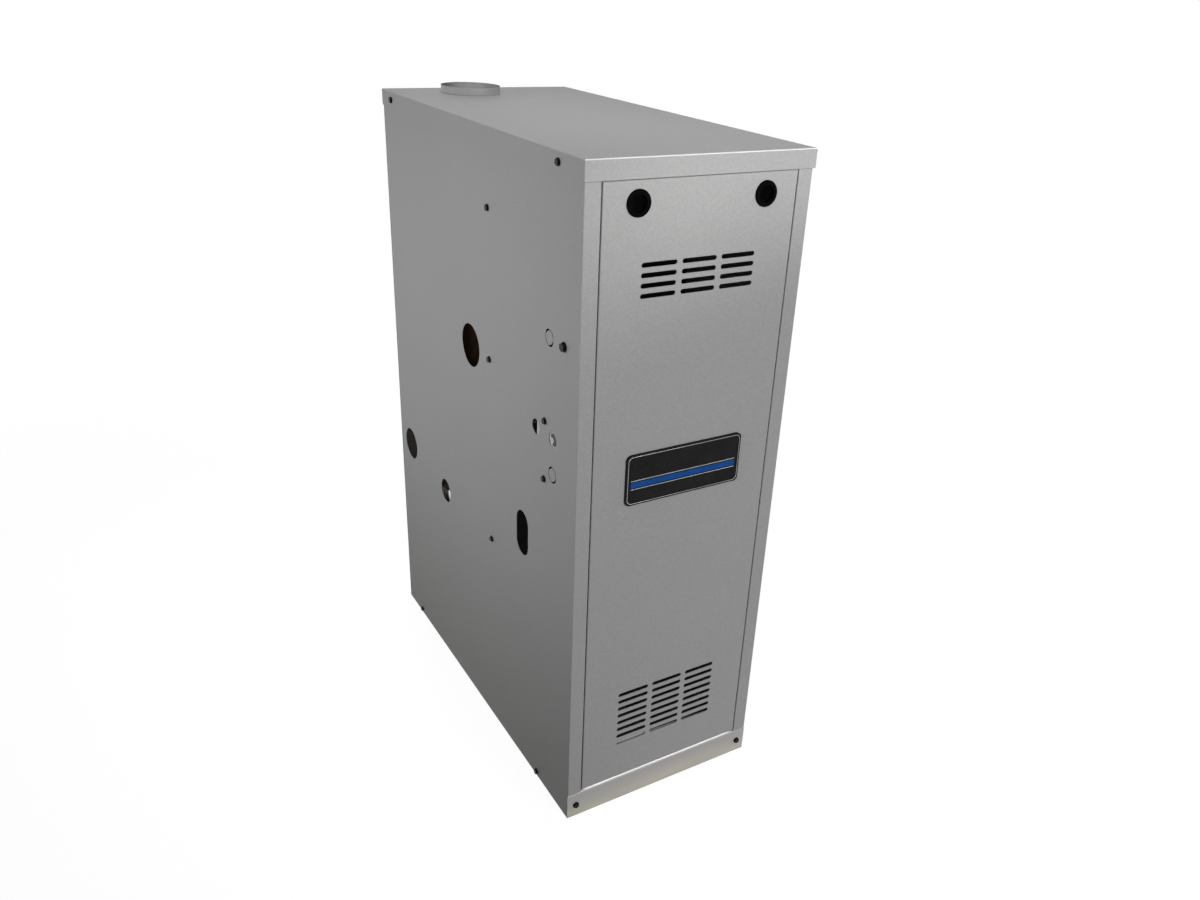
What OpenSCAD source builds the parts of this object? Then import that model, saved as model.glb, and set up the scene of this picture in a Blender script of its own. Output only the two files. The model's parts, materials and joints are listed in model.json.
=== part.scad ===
// Floor-standing gas boiler for hot-water heating, with cast-iron sections and an induced draught.
// X points right, Y back and Z up; the origin is on the floor under the middle of the jacket.
// Places are given as the distance behind the front face, the height, and the distance from the middle.

/* [Jacket] */
// Width over the two side panels
body_w = 344.5; // [336:0.5:380]
// Depth from the front face to the outer face of the rear panel
body_d = 709; // [706:1:760]
// Height to the top of the cap
body_h = 1016; // [1010:1:1080]
// Thickness of the jacket sheet
sheet = 1; // [0.8:0.1:1.2]
// Outside radius of the folded edges
bend_r = 1.6; // [1.4:0.1:2.6]
// Gap left between neighbouring sheets
seam = 0.3; // [0.2:0.05:0.5]
// Width of the front returns of the side panels
return_w = 23.5; // [20:0.5:28]
// Depth of the stiffening lips behind the returns
lip_d = 14; // [10:0.5:18]
// Width of the rear returns of the side panels
rear_return_w = 18; // [15:0.5:24]
// Height of the flange of the top cap
cap_flange = 25.8; // [22:0.2:32]
// How far the front flange of the cap stands proud of the front
cap_front_proud = 2.8; // [2:0.1:4]
// How far the side and rear flanges of the cap stand proud
cap_side_proud = 1.5; // [1.5:0.1:3]
// Height of the front rail
rail_h = 44.5; // [40:0.5:55]
// Depth of the ledge on top of the rail
ledge_d = 22; // [16:0.5:30]
// Height of the lip behind the ledge
ledge_lip = 10; // [6:0.5:16]
// Height of the flanges of the base pan
pan_flange = 15; // [13:0.5:20]
// Height of the base pan's front flange, behind the rail
pan_front_flange = 33; // [30:0.5:34]

/* [Front panel] */
// Gap between the panel and each side return
panel_gap = 1.3; // [1:0.1:2.5]
// Gap between the ledge and the panel's lower edge
panel_lift = 3.7; // [3:0.1:6]
// Gap between the cap's flange and the panel's upper edge
panel_drop = 1.2; // [0.8:0.1:3]
// Depth of the flanges turned in round the panel
panel_flange = 13; // [10:0.5:14]
// Distance of the finger holes below the top of the cap
finger_drop = 55; // [51:1:71]
// Distance of each finger hole from the middle
finger_x = 97; // [80:1:120]
// Diameter of the hole that a grommet snaps into
finger_hole_d = 29; // [26:0.5:31]
// Outside diameter of the grommet's flange
grommet_d = 34.5; // [33:0.5:40]
// Clear diameter inside the grommet
grommet_bore_d = 23; // [18:0.5:24]
// How far the grommet's flange stands proud
grommet_proud = 2.4; // [1.6:0.1:4]
// Length of one louvre slot
louvre_l = 53.5; // [40:0.5:56]
// Height of one louvre slot
louvre_h = 6.4; // [4:0.2:8]
// Distance between slots along a row
louvre_pitch_x = 61.3; // [58:0.1:70]
// Distance between rows
louvre_pitch_z = 13.4; // [10:0.1:15]
// Slots in one row
louvre_columns = 3; // [1:1:4]
// Rows in the upper field
upper_rows = 4; // [1:1:5]
// Rows in the lower field
lower_rows = 8; // [1:1:10]
// Distance of the top row of the upper field below the top of the cap
upper_louvre_drop = 132.5; // [126:0.5:156]
// Height of the top row of the lower field
lower_louvre_z = 211.5; // [200:0.5:240]
// Distance of the two ball studs below the top of the cap
stud_drop = 90; // [84:1:101]
// Distance of each ball stud from the middle
stud_x = 60; // [40:1:76]
// Diameter of the stud's ball
ball_d = 8; // [6:0.5:10]
// Diameter of the stud's pin
stud_d = 5; // [4:0.5:5.5]
// Distance of the ball's centre behind the front face
ball_reach = 34; // [32:0.5:38]

/* [Badge] */
// Width of the badge plate
badge_w = 193; // [150:1:220]
// Height of the badge plate
badge_h = 78; // [50:1:90]
// Height of the middle of the badge plate
badge_z = 583; // [500:1:640]
// Thickness of the badge plate at its rim
badge_t = 3.2; // [2.5:0.1:6]
// Depth of the field inside the rim
badge_recess = 1; // [0.5:0.1:1.6]
// Width of the rim
badge_rim = 4; // [3:0.5:9]
// Corner radius of the badge plate
badge_r = 9; // [7:0.5:14]
// Radius along the outer edge of the rim
badge_edge_r = 1.5; // [0.5:0.1:2.4]

/* [Left side] */
// Supply port: distance behind the front of the castings
supply_inset = 59.5; // [56:0.5:64]
// Supply port: distance below the top of the castings
supply_drop = 46; // [42:0.5:54]
// Supply pipe hole: diameter
supply_hole_d = 69; // [60:0.5:72]
// Return port: distance from the back of the castings
return_inset = 37; // [34:0.5:47]
// Return port: height above the bottom of the castings
return_rise = 61.5; // [56:0.5:74]
// Return pipe hole: diameter
return_hole_d = 60; // [50:0.5:62]
// Drain hole: distance behind the drain plug's axis
drain_hole_lag = 12; // [6:0.5:14]
// Drain hole: height above the drain plug's axis
drain_hole_rise = 9; // [4:0.5:14]
// Drain hole: diameter
drain_hole_d = 43; // [38:0.5:46]
// Gas pipe slot: distance behind the front face
gas_v = 165; // [155:0.5:175]
// Gas pipe slot: height of its middle
gas_z = 436; // [420:0.5:450]
// Gas pipe slot: width
gas_slot_w = 40; // [32:0.5:44]
// Gas pipe slot: height
gas_slot_h = 75; // [60:0.5:80]
// Diameter of the conduit knockouts
knockout_d = 22.6; // [20:0.2:24]
// Width of the groove round a closed knockout
groove_w = 0.9; // [0.4:0.1:1.2]

/* [Fasteners] */
// Diameter of the sheet-metal screws
screw_d = 4.2; // [3.5:0.1:4.8]
// Clearance round a screw's shank
screw_play = 0.2; // [0.1:0.05:0.4]
// Height of a screw's head
screw_head_h = 3.4; // [3:0.1:5]
// Length of a screw's shank
screw_l = 9; // [6:0.5:10]
// Height of a cap screw below the cap's top
cap_screw_drop = 13.5; // [11:0.5:15]
// Height of the screws into the base pan's side flanges
base_screw_z = 7.5; // [7:0.1:8]
// Height of the rail screws
rail_screw_z = 22; // [18:0.5:25]
// Distance of the rail screws from the sides
rail_screw_u = 15; // [12:0.5:18]

/* [Partition] */
// Back face of the partition between vestibule and castings
part_v = 288; // [287:0.25:289]
// Depth of the partition's side flanges
part_flange = 17; // [16:0.5:20]
// Distance from the partition to the castings
rope_gap = 4; // [3:0.5:6]
// Distance from the bottom of the castings to the top of the burner opening
burner_open_drop = 24; // [20:1:28]
// Half the width of the burner opening
burner_open_x = 92; // [85:1:98]
// Bottom of the burner opening
burner_open_z0 = 112; // [105:1:125]
// How far the access panel laps over the opening
access_lap = 14; // [12:0.5:18]
// Thickness of the access panel
access_t = 1.5; // [1:0.1:2]

/* [Castings] */
// Distance from the castings to the outer face of the rear panel
sec_rear = 17; // [10:1:21]
// Bottom of the sections
sec_z0 = 316; // [312:1:318]
// Distance from the top of the sections to the top of the cap
sec_drop = 294; // [286:1:296]
// Distance between the middles of neighbouring sections
sec_pitch = 86; // [86:0.5:87]
// Gap between neighbouring sections at their bosses
sec_gap = 2; // [1.5:0.1:3]
// Thickness of a section's water leg
leg_t = 44; // [38:0.5:46]
// Wall of the water leg
iron_t = 6.5; // [5:0.5:9]
// Diameter of the ports that the nipples join
port_d = 54; // [48:0.5:56]
// Diameter of the bosses round the ports
port_boss_d = 74; // [70:0.5:74]
// Rows and columns of pins on a flue face
pin_count = 5; // [3:1:7]
// Diameter of a pin at its root
pin_d = 15; // [10:0.5:18]
// Diameter of a pin at its tip
pin_tip_d = 10; // [7:0.5:10]
// Diameter of the tapped pipe holes
tapping_d = 41.4; // [38:0.2:44]
// Length of a push nipple
nipple_l = 26; // [20:0.5:30]
// Wall of a push nipple
nipple_t = 4; // [3:0.5:6]
// Clearance of a nipple in its port
nipple_play = 0.05; // [0.02:0.01:0.1]
// Diameter of the tie rods
tie_d = 10; // [8:0.5:10.5]
// Clearance round a tie rod
tie_play = 0.25; // [0.2:0.05:0.5]
// Distance of the drain boss behind the front face
drain_v = 469; // [462:0.5:492]
// Height of the drain boss above the bottom of the sections
drain_rise = 33; // [28:0.5:38]
// Diameter of the drain nipple
drain_d = 26.7; // [22:0.1:28]
// Distance from the drain plug's end to the side panel
drain_clear = 4; // [2:0.5:12]

/* [Burners] */
// Height of the burner tubes
burner_z = 200; // [190:1:210]
// Diameter of the burner tubes
burner_d = 40; // [34:0.5:44]
// Diameter of the venturi necks
venturi_d = 30; // [26:0.5:32]
// Wall of the burner tubes
burner_t = 1.5; // [1:0.1:2]
// Number of port slots along each burner
burner_slots = 22; // [8:1:30]
// Thickness of the chamber's walls
chamber_t = 1.5; // [1:0.1:2]
// How far the chamber stands out past the castings on each side
chamber_lap = 1; // [0.5:0.5:3]
// Width of the ledges that the castings stand on
chamber_ledge = 40; // [34:1:60]
// Thickness of the base insulation board
board_t = 25; // [15:1:35]
// Distance of the sight port below the top of the burner opening
sight_drop = 28; // [26:1:32]
// Distance of the sight port from the middle
sight_x = 34; // [28:1:40]
// Diameter of the sight port
sight_d = 20; // [14:0.5:22]
// Distance from the sight port up to its cover's pivot
sight_pivot = 24; // [22:0.5:26]
// Thickness of the sight port's cover
cover_t = 1.2; // [1:0.1:1.6]
// Running clearance round a pivot or small shaft
run_play = 0.05; // [0.03:0.01:0.08]
// Gap beside anything that turns or slides
side_play = 0.3; // [0.3:0.05:0.5]
// Travel of the roll-out switch's reset button
reset_travel = 2; // [1.5:0.1:2.5]

/* [Gas train] */
// Distance of the manifold behind the front face
manifold_v = 232; // [228:0.5:236]
// Diameter of the gas pipe
pipe_d = 21.3; // [17:0.1:22]
// Bend radius of the gas pipe
pipe_r = 24; // [20:1:28]
// Place of the pipe that drops to the manifold, from the middle
drop_x = 12; // [8:1:16]
// Left end of the gas valve, from the left side panel
valve_u = 42; // [38:1:48]
// Length of the gas valve
valve_l = 78; // [70:1:84]
// Depth and height of the gas valve
valve_s = 58; // [50:1:64]
// Diameter of the gas valve's inlet
gas_inlet_d = 20.9; // [18:0.1:22]
// Depth of the gas valve's inlet
gas_inlet_l = 16; // [12:0.5:20]
// Diameter of the gas valve's knob
knob_d = 34; // [28:0.5:38]
// Height of the gas valve's knob
knob_t = 15; // [10:0.5:18]

/* [Flue and inducer] */
// Outside diameter of the vent collar
collar_d = 99; // [96:0.5:102]
// How far the vent collar stands above the cap
collar_rise = 12; // [8:0.5:20]
// Distance of the vent collar from the outer face of the rear panel
collar_back = 74; // [69:0.5:81]
// Distance of the vent collar from the middle, to the left
collar_x = 45; // [40:0.5:50]
// Wall of the collar and elbow
flue_t = 0.8; // [0.6:0.1:1]
// Clearance between sleeved flue pipes
flue_play = 0.25; // [0.1:0.05:0.3]
// Bend radius of the vent elbow
elbow_r = 70; // [64:1:76]
// Height of the collector hood
hood_h = 56; // [48:1:60]
// Thickness of the hood
hood_t = 2; // [1.5:0.1:3]
// Height of the neck under the inducer
neck_h = 20; // [18:0.5:26]
// Distance of the inducer's axis in front of the vent collar's
inducer_lead = 165; // [161:0.5:169]
// Distance of the inducer's axis from the middle, to the right
inducer_x = 47; // [44:0.5:50]
// Diameter of the inducer wheel
wheel_d = 122; // [110:1:126]
// Height of the inducer wheel
wheel_h = 40; // [34:0.5:44]
// Height inside the inducer housing
scroll_h = 56; // [52:0.5:60]
// Number of blades
blades = 24; // [8:1:32]
// Wall of the inducer housing
scroll_t = 2; // [1.5:0.1:2.5]
// Diameter of the inducer's shaft
shaft_d = 8; // [6:0.5:9]
// Diameter of the motor
motor_d = 88; // [80:1:94]
// Height of the motor
motor_h = 62; // [50:1:68]

/* [Controls] */
// Depth of the junction box
box_d = 82; // [80:0.5:84]
// Width of the junction box
box_w = 60; // [52:1:64]
// Distance from the supply port's height down to the bottom of the junction box
box_drop = 128; // [124:1:132]
// Height of the junction box
box_h = 242; // [236:1:250]
// Width of the limit control
stat_w = 58; // [50:1:60]
// Height of the limit control
stat_h = 76; // [60:1:80]
// Depth of the limit control
stat_d = 50; // [44:1:56]
// Diameter of the limit control's dial
dial_d = 40; // [34:0.5:44]
// Diameter of the gauge
gauge_d = 64; // [56:0.5:68]
// Diameter of the control bulb well and gauge stub
well_d = 20.8; // [18:0.1:22]
// Diameter of the pressure switch
pswitch_d = 76; // [60:1:80]
// Depth of the pressure switch
pswitch_t = 34; // [28:1:38]
// Width of the pressure switch's foot
pswitch_foot_w = 40; // [32:1:48]
// Height of the pressure switch's foot
pswitch_foot_h = 28; // [20:1:32]
// Outside diameter of the pressure tube
tube_d = 9; // [7:0.5:10]
// Diameter of the wiring conduit
conduit_d = 12; // [9:0.5:14]
// Diameter of the ignition leads
lead_d = 7; // [5:0.5:8]

/* [Hidden] */
$fn = 48;
// Overrun of a cutting tool past a face
past = 1;
// Steps round a fold
bend_steps = 4;

// Jacket
half_w = body_w / 2;
in_x = half_w - sheet;                 // inner face of a side panel
side_d = body_d - sheet - seam;        // back of the side panels' rear returns
side_top = body_h - sheet - seam;      // top of the side panels
flange_z = body_h - cap_flange;        // lower edge of the cap's flange
floor_z = sheet;                       // upper face of the base pan
pan_x = in_x - seam;
pan_v0 = sheet + seam;
pan_v1 = side_d - sheet - seam;

// Castings
sec_v0 = part_v + rope_gap;
sec_v1 = body_d - sec_rear;
sec_l = sec_v1 - sec_v0;
sec_z1 = body_h - sec_drop;
sec_t = sec_pitch - sec_gap;
sec_reach = sec_pitch + sec_t / 2;     // outer face of the end sections' bosses
supply_v = sec_v0 + supply_inset;
supply_z = sec_z1 - supply_drop;
return_v = sec_v1 - return_inset;
return_z = sec_z0 + return_rise;
drain_z = sec_z0 + drain_rise;
drain_hole_v = drain_v + drain_hole_lag;
drain_hole_z = drain_z + drain_hole_rise;
sec_r = 20;
water_inset = 12;
water_r = 54;
edge_rib = 12;
tie_inset = 15;
tie_boss_d = 26;
nut_af = 17;
nut_t = 8;
rod_end = 6;
pin_short = 3;
tie_at = [for (v = [sec_v0 + tie_inset, sec_v1 - tie_inset], z = [sec_z0 + tie_inset,
    sec_z1 - tie_inset]) [v, z]];
port_at = [[supply_v, supply_z], [return_v, return_z]];
drain_boss_d = drain_d + 14;
drain_engage = 10;
plug_d = drain_d + 3;
plug_l = 12;

// Front panel
finger_z = body_h - finger_drop;
upper_louvre_z = body_h - upper_louvre_drop;
stud_z = body_h - stud_drop;
panel_x = half_w - return_w - panel_gap;
panel_z0 = rail_h + panel_lift;
panel_z1 = flange_z - panel_drop;
stud_foot_d = ball_d + 5;
stud_foot_t = 1.5;
brace_v = ball_reach - ball_d / 2 - 4;
brace_h = 26;
brace_leg = 12;
clip_t = 0.8;
clip_w = 10;
clip_foot = 5;
clip_back = 3;
clip_v = brace_v + sheet + clip_t;
grommet_neck_t = (finger_hole_d - grommet_bore_d) / 2 - 0.3;
grommet_tail = 4;
louvre_slots = function (rows, top) [for (i = [0:louvre_columns - 1], j = [0:rows - 1])
    [(i - (louvre_columns - 1) / 2) * louvre_pitch_x, top - j * louvre_pitch_z]];

// Screws: seat of the head, and the way the head points
screw_hole = screw_d + 2 * screw_play;
cap_screw_v = [63, body_d - 44];
base_screw_v = [109, body_d - 71];
part_screw_z = [365, supply_z + 1, body_h - 112];
box_z0 = supply_z - box_drop;
box_z1 = box_z0 + box_h;
box_v0 = 37;
box_v1 = box_v0 + box_d;
box_screws = [[box_v0 + 4.5, box_z1 - 15], [box_v1 - 25, box_z0 + 102.5], [box_v1 - 24.5,
    box_z0 + 13]];
box_screw_k = 1.35;
rear_screw_z = [60, 500, body_h - 56];
part_screw_v = part_v - part_flange / 2;
cap_screw_at = [for (s = [-1, 1], v = cap_screw_v)
    [[s * (half_w + cap_side_proud), v, body_h - cap_screw_drop], [s, 0, 0]]];
wall_screw_at = [for (s = [-1, 1]) each [
    for (z = part_screw_z) [[s * half_w, part_screw_v, z], [s, 0, 0]],
    for (v = base_screw_v) [[s * half_w, v, base_screw_z], [s, 0, 0]]]];
box_screw_at = [for (p = box_screws) [[-half_w, p.x, p.y], [-1, 0, 0]]];
side_screw_at = concat(wall_screw_at, box_screw_at);
rail_screw_at = [for (s = [-1, 1]) [[s * (half_w - rail_screw_u), 0, rail_screw_z], [0, -1, 0]]];
rear_screw_at = [for (s = [-1, 1], z = rear_screw_z)
    [[s * (half_w - rear_return_w / 2), body_d, z], [0, 1, 0]]];

// Knockouts in the left side: distance behind the front face, height
open_knockouts = [[box_v0 + 33, box_z0 + 83], [box_v1 + 2.5, box_z0 + 83]];
closed_knockouts = [[box_v1 - 35.5, box_z1 - 16], [box_v0 + 32.5, box_z0 + 30]];

// Partition and burner access panel
web_v = part_v - sheet;                // front face of the partition
burner_open_z1 = sec_z0 - burner_open_drop;
part_z0 = pan_flange + seam;
part_z1 = side_top - 8;
access_v = web_v - access_t;           // front face of the access panel
access_x = burner_open_x + access_lap;
access_z0 = burner_open_z0 - access_lap;
access_z1 = burner_open_z1 + access_lap;
access_screw_l = 4.5;
access_screw_at = [for (s = [-1, 1], z = [access_z0 + access_lap / 2, (access_z0 + access_z1) / 2,
    access_z1 - access_lap / 2]) [[s * (access_x - access_lap / 2), access_v, z], [0, -1, 0]]];

// Burners
chamber_x = sec_reach + chamber_lap;
burner_x = sec_pitch / 2;              // a burner under each flue passage
burner_v0 = sec_v0 + 14;
burner_v1 = sec_v1 - 16;
venturi_v0 = web_v - 30;
mouth_d = venturi_d + 12;
rest_d = 10;
burner_play = 0.2;
slot_w = 2;
igniter_x = 10;
electrode_z = burner_z + 28;
rod_d = 9;
post_d = 5;
post_v = access_v - 24;
post_top = electrode_z + 12;
switch_x = 62;
switch_z = burner_open_z1 - 15;
sight_z = burner_open_z1 - sight_drop;
switch_d = 16;
button_d = 5;
reset_v = access_v - 14;               // face of the roll-out switch's neck
button_proud = 3;

// Gas train
valve_x0 = -half_w + valve_u;
valve_x1 = valve_x0 + valve_l;
boss_l = 8;
manifold_x = burner_x + 26;
bracket_t = 3;
orifice_l = 16;
orifice_d = 10;
orifice_seat = 5;
orifice_bore = 2.4;
knob_x = (valve_x0 + valve_x1) / 2;
knob_z = gas_z + 12;
knob_v = gas_v - valve_s / 2 - side_play;
stem_d = 8;
stem_l = 9;

// Flue and inducer
collar_v = body_d - collar_back;
inducer_v = collar_v - inducer_lead;
hood_z = sec_z1 + hood_h;
hood_rim = 3;
hood_top_x = 105;
hood_top_v = 66;
neck_d = 88;
scroll_z0 = hood_z + neck_h;
scroll_z1 = scroll_z0 + scroll_h + 2 * scroll_t;
scroll_z = (scroll_z0 + scroll_z1) / 2;
scroll_r0 = wheel_d / 2 + 8;
scroll_r1 = inducer_x + collar_x + 30;
duct_w = 60;
duct_v = collar_v - elbow_r - 24;
spigot_l = 20;
collar_r = collar_d / 2;
elbow_d = collar_d + 2 * (flue_play + flue_t);
spigot_d = collar_d;
adapter_w = elbow_d + 4;
adapter_t = 3;
collar_z0 = scroll_z + elbow_r + 8;
sleeve_l = 14;
collar_flange = 16;
wheel_z0 = scroll_z0 + scroll_t + 9;
wheel_z1 = wheel_z0 + wheel_h;
wheel_in_d = wheel_d * 0.68;
disc_t = 2;
blade_t = 1;
blade_lean = 35;
hub_d = shaft_d + 16;
motor_foot_t = 3;
tap_r = 3;                              // radius of a pressure nipple
tap_l = 14;
scroll_turn = 300;
// Outer face of the scroll at its front
tap_wall = inducer_v - scroll_r1 + (scroll_r1 - scroll_r0) * 90 / scroll_turn - scroll_t;

// Controls
box_x1 = -in_x + box_w;
box_t = 1;
pocket = 0.4;
well_z = supply_z;
well_v = web_v - 16;
stat_v = well_v - stat_d;
gauge_x = sec_pitch;
gauge_v = well_v - 26;
gauge_wall = 3;
gauge_dial_v = gauge_v + 7;
gauge_rest = 135;                      // the needle rests down to the left, at zero
control_x = [32, 128];
control_z = [supply_z - 206, supply_z - 86];
control_t = 38;
trans_x = [-100, -44];
trans_z = [supply_z - 76, supply_z - 28];
trans_t = 34;
ps_x = 60;
tube_z = scroll_z + 12;
ps_z = tube_z - pswitch_d / 2 - 20;
ps_v = web_v - pswitch_t - 10;
ps_cap_d = 20;
ps_cap_t = 8;
tube_v = ps_v + pswitch_t / 2;
tube_bend = 12;
conduit_v = web_v - conduit_d;
conduit_z = box_z0 + 17;
conduit_bend = 20;
lead_v = post_v;
lead_bend = 10;
lead_drop = [[45, post_top + 105, -igniter_x], [75, post_top + 85, igniter_x]];

// ---- small helpers ----

module from_front() translate([0, -body_d / 2, 0]) children();

module slab(x, y, z) translate([x[0], y[0], z[0]]) cube([x[1] - x[0], y[1] - y[0], z[1] - z[0]]);

// A straight round bar from a to b
module bar(a, b, d, d2 = undef) {
    w = b - a;
    translate(a) rotate([0, acos(w.z / norm(w)), atan2(w.y, w.x)])
        cylinder(d1 = d, d2 = is_undef(d2) ? d : d2, h = norm(w));
}

// Flat shapes drawn across X, Y or Z and given a thickness along it
module along_x(a, b) translate([a, 0, 0]) rotate([90, 0, 90]) linear_extrude(b - a) children();
module along_y(a, b) translate([0, b, 0]) rotate([90, 0, 0]) linear_extrude(b - a) children();
module along_z(a, b) translate([0, 0, a]) linear_extrude(b - a) children();

module round_rect(a, b, r) {
    translate([a.x + r, a.y]) square([b.x - a.x - 2 * r, b.y - a.y]);
    translate([a.x, a.y + r]) square([b.x - a.x, b.y - a.y - 2 * r]);
    for (x = [a.x + r, b.x - r], y = [a.y + r, b.y - r]) translate([x, y]) circle(r);
}

// A slot with round ends, w long and h high, or upright where h is longer
module obround(w, h) {
    r = min(w, h) / 2;
    square([max(w - 2 * r, h > w ? w : 0.01), max(h - 2 * r, w > h ? h : 0.01)], center = true);
    for (s = [-1, 1]) translate([s * (w / 2 - r), s * (h / 2 - r)]) circle(r);
}

// Outline of a folded sheet: its outer face follows path, its thickness lies to the right of it
function unit(v) = v / norm(v);
function turned(v, a) = [v.x * cos(a) - v.y * sin(a), v.x * sin(a) + v.y * cos(a)];
function right_of(v) = [v.y, -v.x];
function fold_arc(p, d1, d2, t, r, inner) =
    let (turn = atan2(d1.x * d2.y - d1.y * d2.x, d1.x * d2.x + d1.y * d2.y),
        to_right = turn < 0,
        q = to_right ? r : r - t,
        s = to_right ? -1 : 1,
        c = p - d1 * q * tan(abs(turn) / 2) - s * right_of(d1) * q,
        rad = inner ? (to_right ? r - t : r) : q)
    [for (k = [0:bend_steps]) c + s * rad * turned(right_of(d1), turn * k / bend_steps)];
function fold_side(path, t, r, inner) = [
    for (i = [0:len(path) - 1])
        let (last = len(path) - 1,
            d1 = unit(path[max(i, 1)] - path[max(i, 1) - 1]),
            d2 = unit(path[min(i + 1, last)] - path[min(i, last - 1)]))
        each (i == 0 || i == last) ? [path[i] + (inner ? t : 0) * right_of(i == 0 ? d2 : d1)]
            : fold_arc(path[i], d1, d2, t, r, inner)];
module folded(path, t = sheet, r = bend_r) {
    back = fold_side(path, t, r, true);
    polygon(concat(fold_side(path, t, r, false), [for (i = [len(back) - 1:-1:0]) back[i]]));
}

// A block w wide and h high whose face is at depth 0, with the edges round the face rounded
module faced_block(w, h, d, r) intersection() {
    along_z(-h / 2, h / 2) rounded_face(w, d, r);
    along_x(-w / 2, w / 2) rotate(-90) mirror([1, 0]) rounded_face(h, d, r);
}
module rounded_face(w, d, r) {
    translate([-w / 2, r]) square([w, d - r]);
    translate([-w / 2 + r, 0]) square([w - 2 * r, d]);
    for (s = [-1, 1]) translate([s * (w / 2 - r), r]) circle(r);
}
// A shallow pan of sheet with its face at depth 0 and its flanges turned back
module tray(w, h, d) difference() {
    faced_block(w, h, d, bend_r);
    translate([0, sheet, 0]) faced_block(w - 2 * sheet, h - 2 * sheet, d, bend_r - sheet);
}

// Turns +Z to the direction d
module point_to(p, d) translate(p) rotate([0, acos(d.z), atan2(d.y, d.x)]) children();

module screw(p, d, l = screw_l, k = 1) point_to(p, d) {
    cylinder(d = 10.5 * k, h = 0.9);
    cylinder(d = 9.2 * k, h = screw_head_h * k, $fn = 6);
    translate([0, 0, -l]) cylinder(d = screw_d, h = l);
}
module screws(list, l = screw_l, k = 1) for (s = list) screw(s[0], s[1], l, k);
module screw_holes(list, l = screw_l) for (s = list)
    point_to(s[0], s[1]) translate([0, 0, -l - past]) cylinder(d = screw_hole, h = l + 2 * past);

// Round bar along a path whose corners are square, with bends of radius r
module run(path, d, r) {
    last = len(path) - 1;
    for (i = [0:last - 1]) let (w = unit(path[i + 1] - path[i]))
        bar(path[i] + (i > 0 ? r : 0) * w, path[i + 1] - (i < last - 1 ? r : 0) * w, d);
    for (i = [1:1:last - 1]) let (a = unit(path[i] - path[i - 1]), b = unit(path[i + 1] - path[i]),
        c = path[i] - r * a + r * b, n = cross(-b, a))
        multmatrix([[-b.x, a.x, n.x, c.x], [-b.y, a.y, n.y, c.y], [-b.z, a.z, n.z, c.z], [0, 0, 0, 1]])
            rotate_extrude(angle = 90) translate([r, 0]) circle(d = d);
}

// ---- jacket ----

module base_pan() color("#8f9296") from_front() difference() {
    union() {
        along_y(pan_v0, pan_v1) folded([[pan_x, pan_flange], [pan_x, 0], [-pan_x, 0],
            [-pan_x, pan_flange]]);
        slab([-pan_x + bend_r, pan_x - bend_r], [pan_v0, pan_v0 + sheet], [0, pan_front_flange]);
        slab([-pan_x + bend_r, pan_x - bend_r], [pan_v1 - sheet, pan_v1], [0, pan_flange]);
    }
    screw_holes(wall_screw_at);
    screw_holes(rail_screw_at);
}

// Plain side panel, drawn for the left side
module side_shell() difference() {
    translate([-half_w, 0, 0]) along_z(0, side_top) folded([[return_w, lip_d], [return_w, 0], [0, 0],
        [0, side_d], [rear_return_w, side_d]]);
    // The rail and its ledge take the place of the return down here
    translate([-half_w, 0, 0]) {
        slab([-past, bend_r + seam], [-past, bend_r + seam], [-past, rail_h + seam]);
        slab([sheet, return_w + past], [-past, lip_d + past], [-past, rail_h + seam]);
    }
}

module left_side_panel() color("#a9abae") from_front() difference() {
    side_shell();
    for (h = [[supply_v, supply_z, supply_hole_d], [return_v, return_z, return_hole_d],
        [drain_hole_v, drain_hole_z, drain_hole_d]])
        bar([-half_w - past, h[0], h[1]], [-in_x + past, h[0], h[1]], h[2]);
    along_x(-half_w - past, -in_x + past) translate([gas_v, gas_z]) obround(gas_slot_w, gas_slot_h);
    for (k = open_knockouts)
        bar([-half_w - past, k.x, k.y], [-in_x + past, k.x, k.y], knockout_d);
    for (k = closed_knockouts)
        along_x(-half_w - past, -half_w + sheet / 2) translate(k) difference() {
            circle(d = knockout_d);
            circle(d = knockout_d - 2 * groove_w);
        }
    screw_holes(cap_screw_at);
    screw_holes(side_screw_at);
    screw_holes(rear_screw_at);
}

module right_side_panel() color("#a9abae") from_front() difference() {
    mirror([1, 0, 0]) side_shell();
    screw_holes(cap_screw_at);
    screw_holes(wall_screw_at);
    screw_holes(rear_screw_at);
}

module rear_panel() color("#a3a5a8") from_front() difference() {
    slab([-half_w, half_w], [body_d - sheet, body_d], [0, side_top]);
    screw_holes(rear_screw_at);
}

module top_cap() color("#b9bbbd") from_front() difference() {
    w = body_w + 2 * cap_side_proud;
    d = body_d + cap_front_proud + cap_side_proud;
    translate([0, d / 2 - cap_front_proud, body_h]) rotate([-90, 0, 0]) tray(w, d, cap_flange);
    bar([-collar_x, collar_v, body_h - sheet - past], [-collar_x, collar_v, body_h + past],
        collar_d + 2 * seam);
    screw_holes(cap_screw_at);
}

module front_rail() color("#b3b1aa") from_front() difference() {
    along_x(-half_w, half_w) folded([[0, 0], [0, rail_h], [ledge_d, rail_h],
        [ledge_d, rail_h - ledge_lip]]);
    for (s = [-1, 1]) scale([s, 1, 1]) slab([pan_x, half_w + past], [sheet, ledge_d + past], [-past,
        rail_h + past]);
    screw_holes(rail_screw_at);
}

module cross_brace() color("#9b9ea1") from_front() difference() {
    along_x(-in_x, in_x) folded([[brace_v + brace_leg, stud_z - brace_h / 2],
        [brace_v, stud_z - brace_h / 2], [brace_v, stud_z + brace_h / 2],
        [brace_v + brace_leg, stud_z + brace_h / 2]]);
    for (s = [-1, 1]) bar([s * stud_x, brace_v - past, stud_z], [s * stud_x, brace_v + sheet + past,
        stud_z], ball_d + 2);
}

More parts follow.
